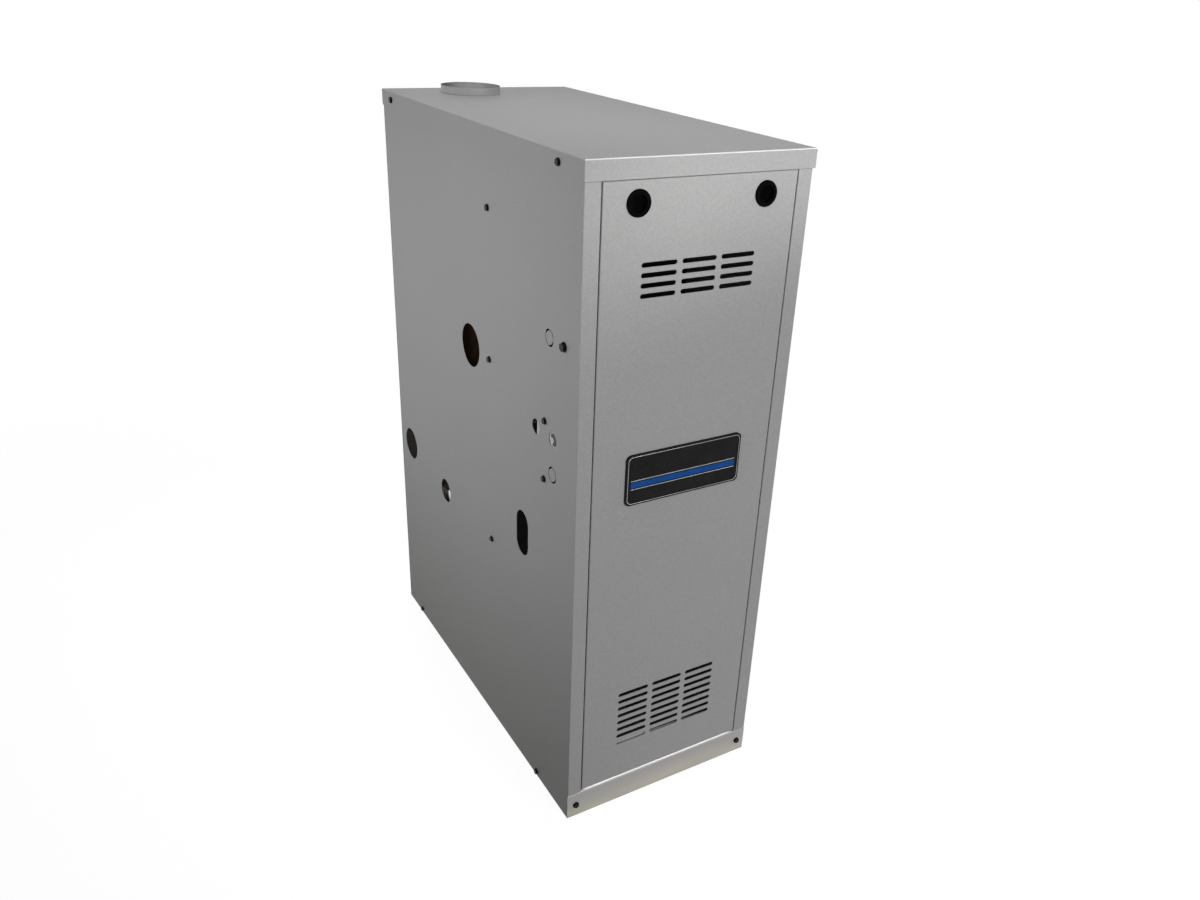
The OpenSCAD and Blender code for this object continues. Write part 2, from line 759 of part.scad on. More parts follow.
// U-shaped spring clips behind the brace; each ball stud snaps in between the two arms
module panel_clips() color("#c9ccd0") from_front() {
    arm = ball_d / 2 + side_play + clip_t;
    end = ball_reach + ball_d / 2 + clip_back;
    for (s = [-1, 1]) translate([s * stud_x, 0, stud_z]) along_x(-clip_w / 2, clip_w / 2)
        folded([[clip_v, arm + clip_foot], [clip_v, arm], [end, arm], [end, -arm], [clip_v, -arm],
            [clip_v, -arm - clip_foot]], clip_t, 1.4);
}

module vestibule_panel() color("#8d9092") from_front() difference() {
    along_z(part_z0, part_z1) folded([[-pan_x, part_v - part_flange], [-pan_x, part_v],
        [pan_x, part_v], [pan_x, part_v - part_flange]]);
    slab([-burner_open_x, burner_open_x], [web_v - past, part_v + past], [burner_open_z0,
        burner_open_z1]);
    for (x = [0, gauge_x]) bar([x, web_v - past, well_z], [x, part_v + past, well_z], well_d + 4);
    bar([ps_x, web_v - past, tube_z], [ps_x, part_v + past, tube_z], tube_d + 1);
    screw_holes(wall_screw_at);
    screw_holes(access_screw_at, access_screw_l);
}

module cap_screws() color("#1b1b1c") from_front() screws(cap_screw_at);
// The screw nearest the front holds the box with a larger head
module side_screws() color("#1b1b1c") from_front() {
    screws(concat(wall_screw_at, [box_screw_at[1], box_screw_at[2]]));
    screws([box_screw_at[0]], screw_l, box_screw_k);
}
module rail_screws() color("#1b1b1c") from_front() screws(rail_screw_at);
module rear_screws() color("#1b1b1c") from_front() screws(rear_screw_at);

// ---- front panel ----

module front_panel() color("#adafb0") from_front() difference() {
    union() {
        translate([0, 0, (panel_z0 + panel_z1) / 2]) tray(2 * panel_x, panel_z1 - panel_z0,
            panel_flange);
        // The side flanges run on as feet that stand on the ledge
        for (s = [-1, 1]) scale([s, 1, 1]) slab([panel_x - sheet, panel_x], [bend_r + 1, panel_flange],
            [rail_h + seam, panel_z0 + 2 * bend_r]);
    }
    for (s = [-1, 1]) bar([s * finger_x, -past, finger_z], [s * finger_x, sheet + past, finger_z],
        finger_hole_d);
    along_y(-past, sheet + past) for (p = concat(louvre_slots(upper_rows, upper_louvre_z),
        louvre_slots(lower_rows, lower_louvre_z))) translate(p) obround(louvre_l, louvre_h);
}

module finger_grommets() color("#141416") from_front() for (s = [-1, 1])
    translate([s * finger_x, 0, finger_z]) rotate([90, 0, 0]) rotate_extrude() difference() {
        union() {
            translate([grommet_bore_d / 2, 0]) square([(grommet_d - grommet_bore_d) / 2
                - grommet_proud / 2, grommet_proud]);
            translate([grommet_bore_d / 2, 0]) square([(grommet_d - grommet_bore_d) / 2,
                grommet_proud / 2]);
            translate([grommet_d / 2 - grommet_proud / 2, grommet_proud / 2])
                circle(d = grommet_proud);
            translate([grommet_bore_d / 2, -grommet_tail]) square([grommet_neck_t, grommet_tail]);
        }
        // Keeps the flange clear of the sheet inside the hole
        translate([grommet_bore_d / 2 + grommet_neck_t, -grommet_tail - past])
            square([grommet_d, grommet_tail + past]);
    }

module badge_plate() color("#17181b") from_front() translate([0, 0, badge_z]) difference() {
    a = [badge_w / 2, badge_h / 2];
    intersection() {
        along_y(-badge_t, 0) round_rect(-a, a, badge_r);
        translate([0, -badge_t, 0]) faced_block(badge_w, badge_h, badge_t, badge_edge_r);
    }
    along_y(-badge_t - past, -badge_t + badge_recess) round_rect(-a + [badge_rim, badge_rim],
        a - [badge_rim, badge_rim], badge_r - badge_rim / 2);
}

module panel_studs() color("#c4c6c8") from_front() for (s = [-1, 1]) {
    bar([s * stud_x, sheet, stud_z], [s * stud_x, sheet + stud_foot_t, stud_z], stud_foot_d);
    bar([s * stud_x, sheet, stud_z], [s * stud_x, ball_reach, stud_z], stud_d);
    translate([s * stud_x, ball_reach, stud_z]) sphere(d = ball_d);
}

// ---- combustion ----

module combustion_chamber() color("#6f6a64") from_front() difference() {
    slab([-chamber_x, chamber_x], [sec_v0, sec_v1], [floor_z, sec_z0]);
    slab([-chamber_x + chamber_t, chamber_x - chamber_t], [sec_v0 + chamber_t, sec_v1 - chamber_t],
        [floor_z - past, sec_z0 - chamber_t]);
    // Open to the flue passages between the front and rear ledges
    slab([-chamber_x + chamber_t, chamber_x - chamber_t], [sec_v0 + chamber_ledge,
        sec_v1 - chamber_ledge], [floor_z - past, sec_z0 + past]);
    slab([-burner_open_x, burner_open_x], [sec_v0 - past, sec_v0 + chamber_t + past], [burner_open_z0,
        burner_open_z1]);
    for (s = [-1, 1]) bar([s * burner_x, sec_v1 - chamber_t - past, burner_z],
        [s * burner_x, sec_v1 + past, burner_z], rest_d + 2 * burner_play);
}

module base_insulation() color("#d8d2c4") from_front() slab([-chamber_x + chamber_t + 1,
    chamber_x - chamber_t - 1], [sec_v0 + chamber_t + 1, sec_v1 - chamber_t - 1], [floor_z,
    floor_z + board_t]);

module burner() rotate([-90, 0, 0]) difference() {
    rotate_extrude() polygon([[0, burner_v1 - venturi_v0], [0, sec_v1 - venturi_v0],
        [rest_d / 2, sec_v1 - venturi_v0], [rest_d / 2, burner_v1 - venturi_v0],
        [burner_d / 2, burner_v1 - venturi_v0], [burner_d / 2, burner_v0 - venturi_v0],
        [venturi_d / 2, burner_v0 - venturi_v0 - 8], [venturi_d / 2, 14], [mouth_d / 2, 0],
        [mouth_d / 2 - burner_t, 0], [venturi_d / 2 - burner_t, 14],
        [venturi_d / 2 - burner_t, burner_v0 - venturi_v0 - 8],
        [burner_d / 2 - burner_t, burner_v0 - venturi_v0],
        [burner_d / 2 - burner_t, burner_v1 - venturi_v0 - burner_t],
        [0, burner_v1 - venturi_v0 - burner_t]]);
    port_l = burner_v1 - burner_v0 - 40;
    for (i = [0:burner_slots - 1]) translate([-burner_d / 6, -burner_d, burner_v0 - venturi_v0 + 20
        + port_l * i / burner_slots]) cube([burner_d / 3, burner_d / 2 + burner_t * 2.5, slot_w]);
}
module burners() color("#9a938b") from_front() for (s = [-1, 1])
    translate([s * burner_x, venturi_v0, burner_z]) burner();

module burner_access_panel() color("#85888b") from_front() difference() {
    union() {
        slab([-access_x, access_x], [access_v, web_v], [access_z0, access_z1]);
        // Rivet that the sight port's cover hangs on
        bar([sight_x, access_v - cover_t - 2 * side_play - 1.2, sight_z + sight_pivot],
            [sight_x, web_v, sight_z + sight_pivot], 5);
        bar([sight_x, access_v - cover_t - 2 * side_play - 1.4, sight_z + sight_pivot],
            [sight_x, access_v - cover_t - 2 * side_play, sight_z + sight_pivot], 9);
    }
    for (s = [-1, 1]) bar([s * burner_x, access_v - past, burner_z],
        [s * burner_x, web_v + past, burner_z], venturi_d + 2 * burner_play);
    bar([sight_x, access_v - past, sight_z], [sight_x, web_v + past, sight_z], sight_d);
    for (s = [-1, 1]) bar([s * igniter_x, access_v - past, electrode_z],
        [s * igniter_x, web_v + past, electrode_z], rod_d + 2 * burner_play);
    screw_holes(access_screw_at, access_screw_l);
}
module access_screws() color("#9fa2a5") from_front() screws(access_screw_at, access_screw_l, 0.85);

module sight_port_cover() color("#b5b7b9") from_front() translate([sight_x, 0, sight_z]) along_y(
    access_v - side_play - cover_t, access_v - side_play) difference() {
    union() {
        circle(d = sight_d + 10);
        translate([-6, 0]) square([12, sight_pivot]);
        translate([0, sight_pivot]) circle(d = 14);
    }
    translate([0, sight_pivot]) circle(d = 5 + 2 * run_play);
}

module rollout_switch() color("#2b2a2c") from_front() difference() {
    union() {
        slab([-switch_x - 14, -switch_x + 14], [access_v - 1, access_v], [switch_z - 8, switch_z + 8]);
        bar([-switch_x, access_v - 10, switch_z], [-switch_x, access_v - 1, switch_z], switch_d);
        bar([-switch_x, reset_v, switch_z], [-switch_x, access_v - 10, switch_z], button_d + 4);
        for (s = [-1, 1]) slab([-switch_x + s * 4 - 0.4, -switch_x + s * 4 + 0.4], [access_v - 8,
            access_v - 5], [switch_z - 15, switch_z]);
    }
    bar([-switch_x, reset_v - past, switch_z], [-switch_x, access_v - 4, switch_z],
        button_d + 2 * run_play);
}
module rollout_reset_button() color("#b3261e") from_front() bar([-switch_x, reset_v - button_proud,
    switch_z], [-switch_x, access_v - 4 - reset_travel - side_play, switch_z], button_d);

// Ceramic rod through the access panel, with a terminal post in front and a wire behind
module electrode(x, tip) {
    bar([x, post_v - 3, electrode_z], [x, web_v + 14, electrode_z], rod_d);
    bar([x, post_v, electrode_z], [x, post_v, post_top], post_d);
    slab([x - 8, x + 8], [access_v - 1, access_v], [electrode_z - 6, electrode_z + 6]);
    bar([x, web_v + 12, electrode_z], [x + tip, web_v + 44, electrode_z + 4], 2.2);
}
module igniter() color("#e8e4da") from_front() electrode(-igniter_x, -12);
module flame_sensor() color("#d9d6cf") from_front() electrode(igniter_x, 12);
module ignition_leads() color("#a5552c") from_front() for (l = lead_drop) run([
    [l[0], lead_v, control_z[0]], [l[0], lead_v, l[1]], [l[2], lead_v, l[1]], [l[2], lead_v, post_top]],
    lead_d, lead_bend);

// ---- gas train ----

module gas_manifold() color("#26282a") from_front() difference() {
    manifold_pipe();
    for (s = [-1, 1]) bar([s * burner_x, manifold_v + pipe_d / 2 - orifice_seat, burner_z],
        [s * burner_x, manifold_v + pipe_d, burner_z], orifice_d + 2 * run_play);
}
module manifold_pipe() {
    bar([-manifold_x, manifold_v, burner_z], [manifold_x, manifold_v, burner_z], pipe_d);
    for (s = [-1, 1]) bar([s * manifold_x, manifold_v, burner_z], [s * (manifold_x + 4), manifold_v,
        burner_z], pipe_d + 6);
    run([[valve_x1 + boss_l, gas_v, gas_z], [drop_x, gas_v, gas_z], [drop_x, gas_v, burner_z],
        [drop_x, manifold_v, burner_z]], pipe_d, pipe_r);
    // Brackets to the access panel
    for (s = [-1, 1]) scale([s, 1, 1]) {
        slab([manifold_x - bracket_t, manifold_x], [manifold_v, access_v], [burner_z - 8, burner_z + 8]);
        slab([manifold_x - bracket_t, manifold_x + 14], [access_v - 2, access_v], [burner_z - 8,
            burner_z + 8]);
    }
}
module gas_orifices() color("#b08d3e") from_front() for (s = [-1, 1]) difference() {
    v = manifold_v + pipe_d / 2;
    union() {
        bar([s * burner_x, v - orifice_seat, burner_z], [s * burner_x, v + orifice_l, burner_z],
            orifice_d);
        translate([s * burner_x, v + 1, burner_z]) rotate([-90, 0, 0]) cylinder(d = orifice_d + 4,
            h = 7, $fn = 6);
    }
    bar([s * burner_x, v + 3, burner_z], [s * burner_x, v + orifice_l + past, burner_z],
        orifice_bore);
}

module gas_valve() color("#9a9c9e") from_front() difference() {
    r = valve_s / 2;
    union() {
        along_x(valve_x0 + boss_l, valve_x1) translate([gas_v, gas_z])
            round_rect([-r, -r], [r, r], 6);
        bar([valve_x0, gas_v, gas_z], [valve_x0 + boss_l, gas_v, gas_z], gas_inlet_d + 16);
        bar([valve_x1, gas_v, gas_z], [valve_x1 + boss_l, gas_v, gas_z], pipe_d + 10);
        bar([knob_x - 18, gas_v, gas_z + r], [knob_x - 18, gas_v, gas_z + r + 14], 26);
        slab([knob_x + 2, knob_x + 28], [gas_v - 16, gas_v + 16], [gas_z + r, gas_z + r + 10]);
    }
    bar([valve_x0 - past, gas_v, gas_z], [valve_x0 + gas_inlet_l, gas_v, gas_z], gas_inlet_d);
    bar([knob_x, gas_v - r - past, knob_z], [knob_x, gas_v - r + stem_l + 1, knob_z],
        stem_d + 2 * run_play);
}
module gas_valve_knob() color("#1d3f8f") from_front() translate([knob_x, knob_v, knob_z])
    rotate([90, 0, 0]) difference() {
        union() {
            cylinder(d = knob_d, h = knob_t * 0.6);
            translate([0, 0, knob_t * 0.6]) cylinder(d1 = knob_d, d2 = knob_d - 4, h = 2);
            translate([-4, -knob_d / 2 + 2, 0]) cube([8, knob_d - 4, knob_t]);
            translate([0, 0, -stem_l - side_play]) cylinder(d = stem_d, h = stem_l + 1);
        }
        for (a = [0:20:340]) rotate(a) translate([knob_d / 2 + 0.6, 0, 1]) cylinder(r = 1.8,
            h = knob_t);
    }

// ---- cast-iron heat exchanger ----

module leg_outline(inset, r) round_rect([sec_v0 + inset, sec_z0 + inset], [sec_v1 - inset,
    sec_z1 - inset], r);

// Pins on a flue face, standing from the water leg towards side s
module pins(x, s) {
    root = leg_t / 2 - 1;
    span_v = sec_l - 2 * edge_rib;
    span_z = sec_z1 - sec_z0;
    for (i = [1:pin_count], j = [1:pin_count]) let (
        v = sec_v0 + edge_rib + span_v * i / (pin_count + 1), z = sec_z0 + span_z * j / (pin_count + 1),
        clear = min([for (p = port_at) norm([v, z] - p)]))
        if (clear > port_boss_d / 2 + pin_d / 2) bar([x + s * root, v, z],
            [x + s * (sec_t / 2 - pin_short), v, z], pin_d, pin_tip_d);
}

// One casting at x; flues and open ports on the sides listed, each -1 or 1
module casting(x, flues) color("#6b4a3a") from_front() difference() {
    union() {
        along_x(x - leg_t / 2, x + leg_t / 2) leg_outline(0, sec_r);
        for (p = port_at) bar([x - sec_t / 2, p.x, p.y], [x + sec_t / 2, p.x, p.y], port_boss_d);
        for (p = tie_at) bar([x - sec_t / 2, p.x, p.y], [x + sec_t / 2, p.x, p.y], tie_boss_d);
        for (s = flues) {
            pins(x, s);
            // Ribs that close the flue passage at the front and the back
            for (v = [sec_v0, sec_v1 - edge_rib]) slab([min(x, x + s * sec_t / 2), max(x,
                x + s * sec_t / 2)], [v, v + edge_rib], [sec_z0 + sec_r, sec_z1 - sec_r]);
        }
        children(0);
    }
    along_x(x - leg_t / 2 + iron_t, x + leg_t / 2 - iron_t) leg_outline(water_inset, water_r);
    for (p = port_at) {
        for (s = flues) bar([x, p.x, p.y], [x + s * (sec_t / 2 + past), p.x, p.y], port_d);
        bar([x - leg_t / 2 + iron_t, p.x, p.y], [x + leg_t / 2 - iron_t, p.x, p.y], port_d);
    }
    for (p = tie_at) bar([x - sec_t / 2 - past, p.x, p.y], [x + sec_t / 2 + past, p.x, p.y],
        tie_d + 2 * tie_play);
    children(1);
}
module well_hole(x) bar([x, well_v, well_z], [x, supply_v, well_z], well_d + 2 * tie_play);

module section_left() casting(-sec_pitch, [1]) {
    bar([-sec_reach, drain_v, drain_z], [-sec_pitch, drain_v, drain_z], drain_boss_d);
    union() {
        for (p = port_at) bar([-sec_reach - past, p.x, p.y], [-sec_pitch, p.x, p.y], tapping_d);
        bar([-sec_reach - past, drain_v, drain_z], [-sec_pitch, drain_v, drain_z],
            drain_d + 2 * nipple_play);
    }
}
module section_centre() casting(0, [-1, 1]) {
    union() {}
    well_hole(0);
}
module section_right() casting(sec_pitch, [-1]) {
    union() {}
    well_hole(sec_pitch);
}

module push_nipples() color("#a7a9ab") from_front() for (s = [-1, 1], p = port_at) difference() {
    bar([s * sec_pitch / 2 - nipple_l / 2, p.x, p.y], [s * sec_pitch / 2 + nipple_l / 2, p.x, p.y],
        port_d - 2 * nipple_play);
    bar([s * sec_pitch / 2 - nipple_l, p.x, p.y], [s * sec_pitch / 2 + nipple_l, p.x, p.y],
        port_d - 2 * nipple_t);
}

module tie_rods() color("#7d8083") from_front() for (p = tie_at) {
    bar([-sec_reach - nut_t - rod_end, p.x, p.y], [sec_reach + nut_t + rod_end, p.x, p.y], tie_d);
    for (x = [-sec_reach - nut_t, sec_reach]) translate([x, p.x, p.y]) rotate([0, 90, 0])
        cylinder(d = nut_af * 2 / sqrt(3), h = nut_t, $fn = 6);
}

// Short nipple from the drain boss to a hex plug just behind its hole in the side panel
module drain_plug() color("#d8dadc") from_front() {
    end = -in_x + drain_clear;
    bar([-sec_reach + drain_engage, drain_v, drain_z], [end + 4, drain_v, drain_z], drain_d);
    bar([end + 6, drain_v, drain_z], [end + 6 + plug_l, drain_v, drain_z], plug_d + 6);
    translate([end, drain_v, drain_z]) rotate([0, 90, 0]) cylinder(d = plug_d, h = plug_l, $fn = 6);
}

// ---- flue ----

module hood(t) intersection() {
    x = chamber_x - t;
    tx = hood_top_x - t;
    z = hood_z - t;
    along_y(sec_v0 + t, sec_v1 - t) polygon([[-x, sec_z1 - (t > 0 ? past : 0)], [-x, sec_z1 + hood_rim],
        [-tx, z], [tx, z], [x, sec_z1 + hood_rim], [x, sec_z1 - (t > 0 ? past : 0)]]);
    along_x(-x, x) polygon([[sec_v0 + t, sec_z1 - (t > 0 ? past : 0)], [sec_v0 + t, sec_z1 + hood_rim],
        [inducer_v - hood_top_v + t, z], [inducer_v + hood_top_v / 2 - t, z],
        [sec_v1 - t, sec_z1 + hood_rim], [sec_v1 - t, sec_z1 - (t > 0 ? past : 0)]]);
}
module flue_collector() color("#8b8d8f") from_front() difference() {
    union() {
        difference() {
            hood(0);
            hood(hood_t);
        }
        bar([inducer_x, inducer_v, hood_z - hood_t], [inducer_x, inducer_v, scroll_z0], neck_d);
    }
    bar([inducer_x, inducer_v, hood_z - hood_t - past], [inducer_x, inducer_v, scroll_z0 + past],
        neck_d - 2 * hood_t);
}

// Spiral from the wheel's edge out to the discharge, which points to the back on the left
scroll_steps = 30;
function spiral(extra) = [for (i = [0:scroll_steps]) let (a = 180 - scroll_turn * i / scroll_steps,
    r = scroll_r1 - (scroll_r1 - scroll_r0) * i / scroll_steps + extra) r * [cos(-a), sin(-a)]];
module scroll(extra) {
    polygon(spiral(extra));
    translate([-scroll_r1 - extra, 0]) square([duct_w + 2 * extra, duct_v - inducer_v]);
    circle(scroll_r0 + extra);
}
module inducer_housing() color("#2f3133") from_front() difference() {
    union() {
        translate([inducer_x, inducer_v, 0]) along_z(scroll_z0, scroll_z1) scroll(scroll_t);
        // Flange and round spigot that the elbow slides over
        along_y(duct_v - adapter_t, duct_v) translate([-collar_x, scroll_z]) difference() {
            round_rect([-adapter_w / 2, -scroll_h / 2 - 4 * scroll_t], [adapter_w / 2,
                scroll_h / 2 + 4 * scroll_t], 5);
        }
        bar([-collar_x, duct_v - adapter_t, scroll_z], [-collar_x, duct_v, scroll_z], spigot_d);
        bar([-collar_x, duct_v - past, scroll_z], [-collar_x, duct_v + spigot_l, scroll_z], spigot_d);
        // Pressure tap at the front
        bar([ps_x, tap_wall - tap_l, tube_z], [ps_x, tap_wall + scroll_t * 2, tube_z], 2 * tap_r);
    }
    translate([inducer_x, inducer_v, 0]) along_z(scroll_z0 + scroll_t, scroll_z1 - scroll_t) scroll(0);
    bar([-collar_x, duct_v - adapter_t - 2 * past, scroll_z],
        [-collar_x, duct_v + spigot_l + past, scroll_z], min(duct_w, scroll_h));
    bar([-collar_x, duct_v, scroll_z], [-collar_x, duct_v + spigot_l + past, scroll_z],
        spigot_d - 2 * scroll_t);
    bar([inducer_x, inducer_v, scroll_z0 - past], [inducer_x, inducer_v, scroll_z0 + scroll_t + past],
        neck_d - 2 * hood_t);
    bar([inducer_x, inducer_v, scroll_z1 - scroll_t - past], [inducer_x, inducer_v, scroll_z1 + past],
        hub_d);
}

module inducer_wheel() color("#b9bcbf") from_front() translate([inducer_x, inducer_v, 0]) {
    difference() {
        union() {
            along_z(wheel_z1 - disc_t, wheel_z1) circle(d = wheel_d);
            along_z(wheel_z1 - 16, wheel_z1) circle(d = hub_d);
            along_z(wheel_z0, wheel_z0 + disc_t) difference() {
                circle(d = wheel_d);
                circle(d = wheel_in_d);
            }
            for (i = [0:blades - 1]) rotate(360 * i / blades) along_z(wheel_z0, wheel_z1)
                translate([(wheel_d + wheel_in_d) / 4, 0]) rotate(blade_lean) square(
                    [(wheel_d - wheel_in_d) * 0.44, blade_t], center = true);
        }
        along_z(wheel_z0 - past, wheel_z1 + past) circle(d = shaft_d);
    }
}
module inducer_shaft() color("#d2d4d6") from_front() bar([inducer_x, inducer_v, wheel_z1 - 16],
    [inducer_x, inducer_v, scroll_z1 + motor_h - 8], shaft_d);
module inducer_motor() color("#3a3c3f") from_front() difference() {
    union() {
        bar([inducer_x, inducer_v, scroll_z1], [inducer_x, inducer_v, scroll_z1 + motor_foot_t],
            motor_d + 10);
        bar([inducer_x, inducer_v, scroll_z1], [inducer_x, inducer_v, scroll_z1 + motor_h - 6], motor_d);
        bar([inducer_x, inducer_v, scroll_z1 + motor_h - 6], [inducer_x, inducer_v,
            scroll_z1 + motor_h], motor_d, motor_d - 12);
        for (a = [0:30:330]) rotate_about(a) slab([motor_d / 2 - 2, motor_d / 2 + 2], [-1.5, 1.5],
            [scroll_z1, scroll_z1 + motor_h - 10]);
    }
    bar([inducer_x, inducer_v, scroll_z1 - past], [inducer_x, inducer_v, scroll_z1 + motor_h - 6],
        shaft_d + 2 * run_play);
}
module rotate_about(a) translate([inducer_x, inducer_v, 0]) rotate(a) children();

module vent_elbow() color("#b7babd") from_front() difference() {
    path = [[-collar_x, duct_v, scroll_z], [-collar_x, collar_v, scroll_z],
        [-collar_x, collar_v, collar_z0 + sleeve_l]];
    run(path, elbow_d, elbow_r);
    run([path[0] - [0, past, 0], path[1], path[2] + [0, 0, past]], elbow_d - 2 * flue_t, elbow_r);
}
module vent_collar() color("#c3c6c9") from_front() difference() {
    union() {
        bar([-collar_x, collar_v, collar_z0], [-collar_x, collar_v, body_h + collar_rise], collar_d);
        bar([-collar_x, collar_v, body_h - 2 * sheet], [-collar_x, collar_v, body_h - sheet],
            collar_d + 2 * collar_flange);
    }
    bar([-collar_x, collar_v, collar_z0 - past], [-collar_x, collar_v, body_h + collar_rise + past],
        collar_d - 2 * flue_t);
}

// ---- controls ----

module pressure_switch() color("#43464a") from_front() {
    bar([ps_x, ps_v, ps_z], [ps_x, ps_v + pswitch_t, ps_z], pswitch_d - 12);
    bar([ps_x, ps_v + pswitch_t * 0.4, ps_z], [ps_x, ps_v + pswitch_t * 0.6, ps_z], pswitch_d);
    bar([ps_x, ps_v - ps_cap_t, ps_z], [ps_x, ps_v, ps_z], ps_cap_d);
    bar([ps_x, tube_v, ps_z], [ps_x, tube_v, ps_z + pswitch_d / 2 + 8], 2 * tap_r);
    slab([ps_x - pswitch_foot_w / 2, ps_x + pswitch_foot_w / 2], [ps_v + pswitch_t, web_v],
        [ps_z - pswitch_foot_h / 2, ps_z + pswitch_foot_h / 2]);
}
module pressure_tube() color("#c8c3b8") from_front() difference() {
    path = [[ps_x, tube_v, ps_z + pswitch_d / 2 + seam], [ps_x, tube_v, tube_z],
        [ps_x, tap_wall - seam, tube_z]];
    run(path, tube_d, tube_bend);
    run([path[0] - [0, 0, past], path[1], path[2] + [0, past, 0]], 2 * (tap_r + run_play), tube_bend);
}

module junction_box() color("#c5c9cc") from_front() difference() {
    slab([-in_x, box_x1], [box_v0, box_v1], [box_z0, box_z1]);
    slab([-in_x + box_t, box_x1 - box_t], [box_v0 - past, box_v1 - box_t], [box_z0 + box_t,
        box_z1 - box_t]);
    screw_holes(box_screw_at);
}
module junction_box_cover() color("#b8bcbf") from_front() difference() {
    union() {
        slab([-in_x, box_x1], [box_v0 - box_t, box_v0], [box_z0, box_z1]);
        slab([-in_x + box_t + pocket, box_x1 - box_t - pocket], [box_v0 - box_t, box_v0 + 8],
            [box_z0 + box_t + pocket, box_z1 - box_t - pocket]);
    }
    slab([-in_x + 2 * box_t + pocket, box_x1 - 2 * box_t - pocket], [box_v0, box_v0 + 8 + past],
        [box_z0 + 2 * box_t + pocket, box_z1 - 2 * box_t - pocket]);
    // Screw hole near the cover's edge clears the side screws
    screw_holes(box_screw_at);
}
module transformer() color("#5a4636") from_front() {
    slab([trans_x[0], trans_x[1]], [web_v - 2, web_v], [trans_z[0] + 14, trans_z[1] - 14]);
    slab([trans_x[0] + 6, trans_x[1] - 6], [web_v - trans_t, web_v], trans_z);
    along_y(web_v - trans_t - 8, web_v - trans_t) round_rect([trans_x[0] + 14, trans_z[0] + 6],
        [trans_x[1] - 14, trans_z[1] - 6], 6);
}
module ignition_control() color("#1f2226") from_front() {
    along_y(web_v - control_t + 8, web_v) round_rect([control_x[0], control_z[0]], [control_x[1],
        control_z[1]], 4);
    along_y(web_v - control_t, web_v - control_t + 8) round_rect([control_x[0] + 5, control_z[0] + 22],
        [control_x[1] - 5, control_z[1] - 5], 4);
    for (i = [0:5]) slab([control_x[0] + 12 + 12 * i, control_x[0] + 20 + 12 * i], [web_v - control_t,
        web_v - control_t + 9], [control_z[0] + 7, control_z[0] + 15]);
}

module aquastat_body() color("#8e9194") from_front() difference() {
    union() {
        along_y(stat_v, well_v) translate([0, well_z]) round_rect([-stat_w / 2, -stat_h / 2],
            [stat_w / 2, stat_h / 2], 4);
        bar([0, well_v, well_z], [0, well_v + 6, well_z], well_d + 8);
    }
    bar([0, stat_v - past, well_z], [0, stat_v + stem_l + 1, well_z], stem_d + 2 * run_play);
    bar([0, well_v - 12, well_z], [0, well_v + 6 + past, well_z], well_d + 2 * tie_play);
}
module aquastat_well() color("#b08d3e") from_front() bar([0, well_v - 12, well_z], [0, supply_v - 8,
    well_z], well_d);
module aquastat_dial() color("#e4e2dc") from_front() translate([0, stat_v - side_play, well_z])
    rotate([90, 0, 0]) difference() {
        union() {
            cylinder(d = dial_d, h = 3);
            cylinder(d1 = dial_d * 0.62, d2 = dial_d * 0.54, h = 12);
            translate([0, 0, -stem_l - side_play]) cylinder(d = stem_d, h = stem_l + 1);
        }
        for (a = [0:30:330]) rotate(a) translate([dial_d * 0.33, 0, 4]) cylinder(r = 2, h = 12);
    }

module gauge_body() color("#2a2c2e") from_front() difference() {
    union() {
        bar([gauge_x, gauge_v, well_z], [gauge_x, well_v, well_z], gauge_d);
        bar([gauge_x, well_v, well_z], [gauge_x, supply_v - 8, well_z], well_d);
    }
    difference() {
        bar([gauge_x, gauge_v - past, well_z], [gauge_x, gauge_dial_v, well_z],
            gauge_d - 2 * gauge_wall);
        // Pivot of the needle
        bar([gauge_x, gauge_dial_v - 4.5, well_z], [gauge_x, gauge_dial_v + past, well_z], 3);
    }
}
module gauge_needle() color("#c62f1f") from_front() translate([gauge_x, 0, well_z]) along_y(
    gauge_dial_v - 2.8, gauge_dial_v - 2) rotate(gauge_rest) difference() {
    union() {
        circle(d = 9);
        polygon([[-3, 0], [0, -10], [3, 0], [0, gauge_d / 2 - gauge_wall - 4]]);
    }
    circle(d = 3 + 2 * run_play);
}
module gauge_lens() color("#dfe8ec") from_front() bar([gauge_x, gauge_v + 0.4, well_z],
    [gauge_x, gauge_v + 2, well_z], gauge_d - 2 * gauge_wall - 2 * run_play);

module wiring_conduit() color("#6d7073") from_front() run([[(-in_x + box_x1) / 2, box_v1, conduit_z],
    [(-in_x + box_x1) / 2, conduit_v, conduit_z], [control_x[0], conduit_v, conduit_z]], conduit_d,
    conduit_bend);

base_pan();
left_side_panel();
right_side_panel();
rear_panel();
top_cap();
front_rail();
cross_brace();
panel_clips();
vestibule_panel();
cap_screws();
side_screws();
rail_screws();
rear_screws();
front_panel();
finger_grommets();
badge_plate();
panel_studs();
combustion_chamber();
base_insulation();
burners();
burner_access_panel();
access_screws();
sight_port_cover();
rollout_switch();
rollout_reset_button();
igniter();
flame_sensor();
ignition_leads();
gas_manifold();
gas_orifices();
gas_valve();
gas_valve_knob();
section_left();
section_centre();
section_right();
push_nipples();
tie_rods();
drain_plug();
flue_collector();
inducer_housing();
inducer_motor();
inducer_shaft();
inducer_wheel();
vent_elbow();
vent_collar();
pressure_switch();
pressure_tube();
junction_box();
junction_box_cover();
transformer();
ignition_control();
aquastat_body();
aquastat_dial();
aquastat_well();
gauge_body();
gauge_needle();
gauge_lens();
wiring_conduit();
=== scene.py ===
import json
import math
import bmesh
import bpy
from mathutils import Matrix, Vector


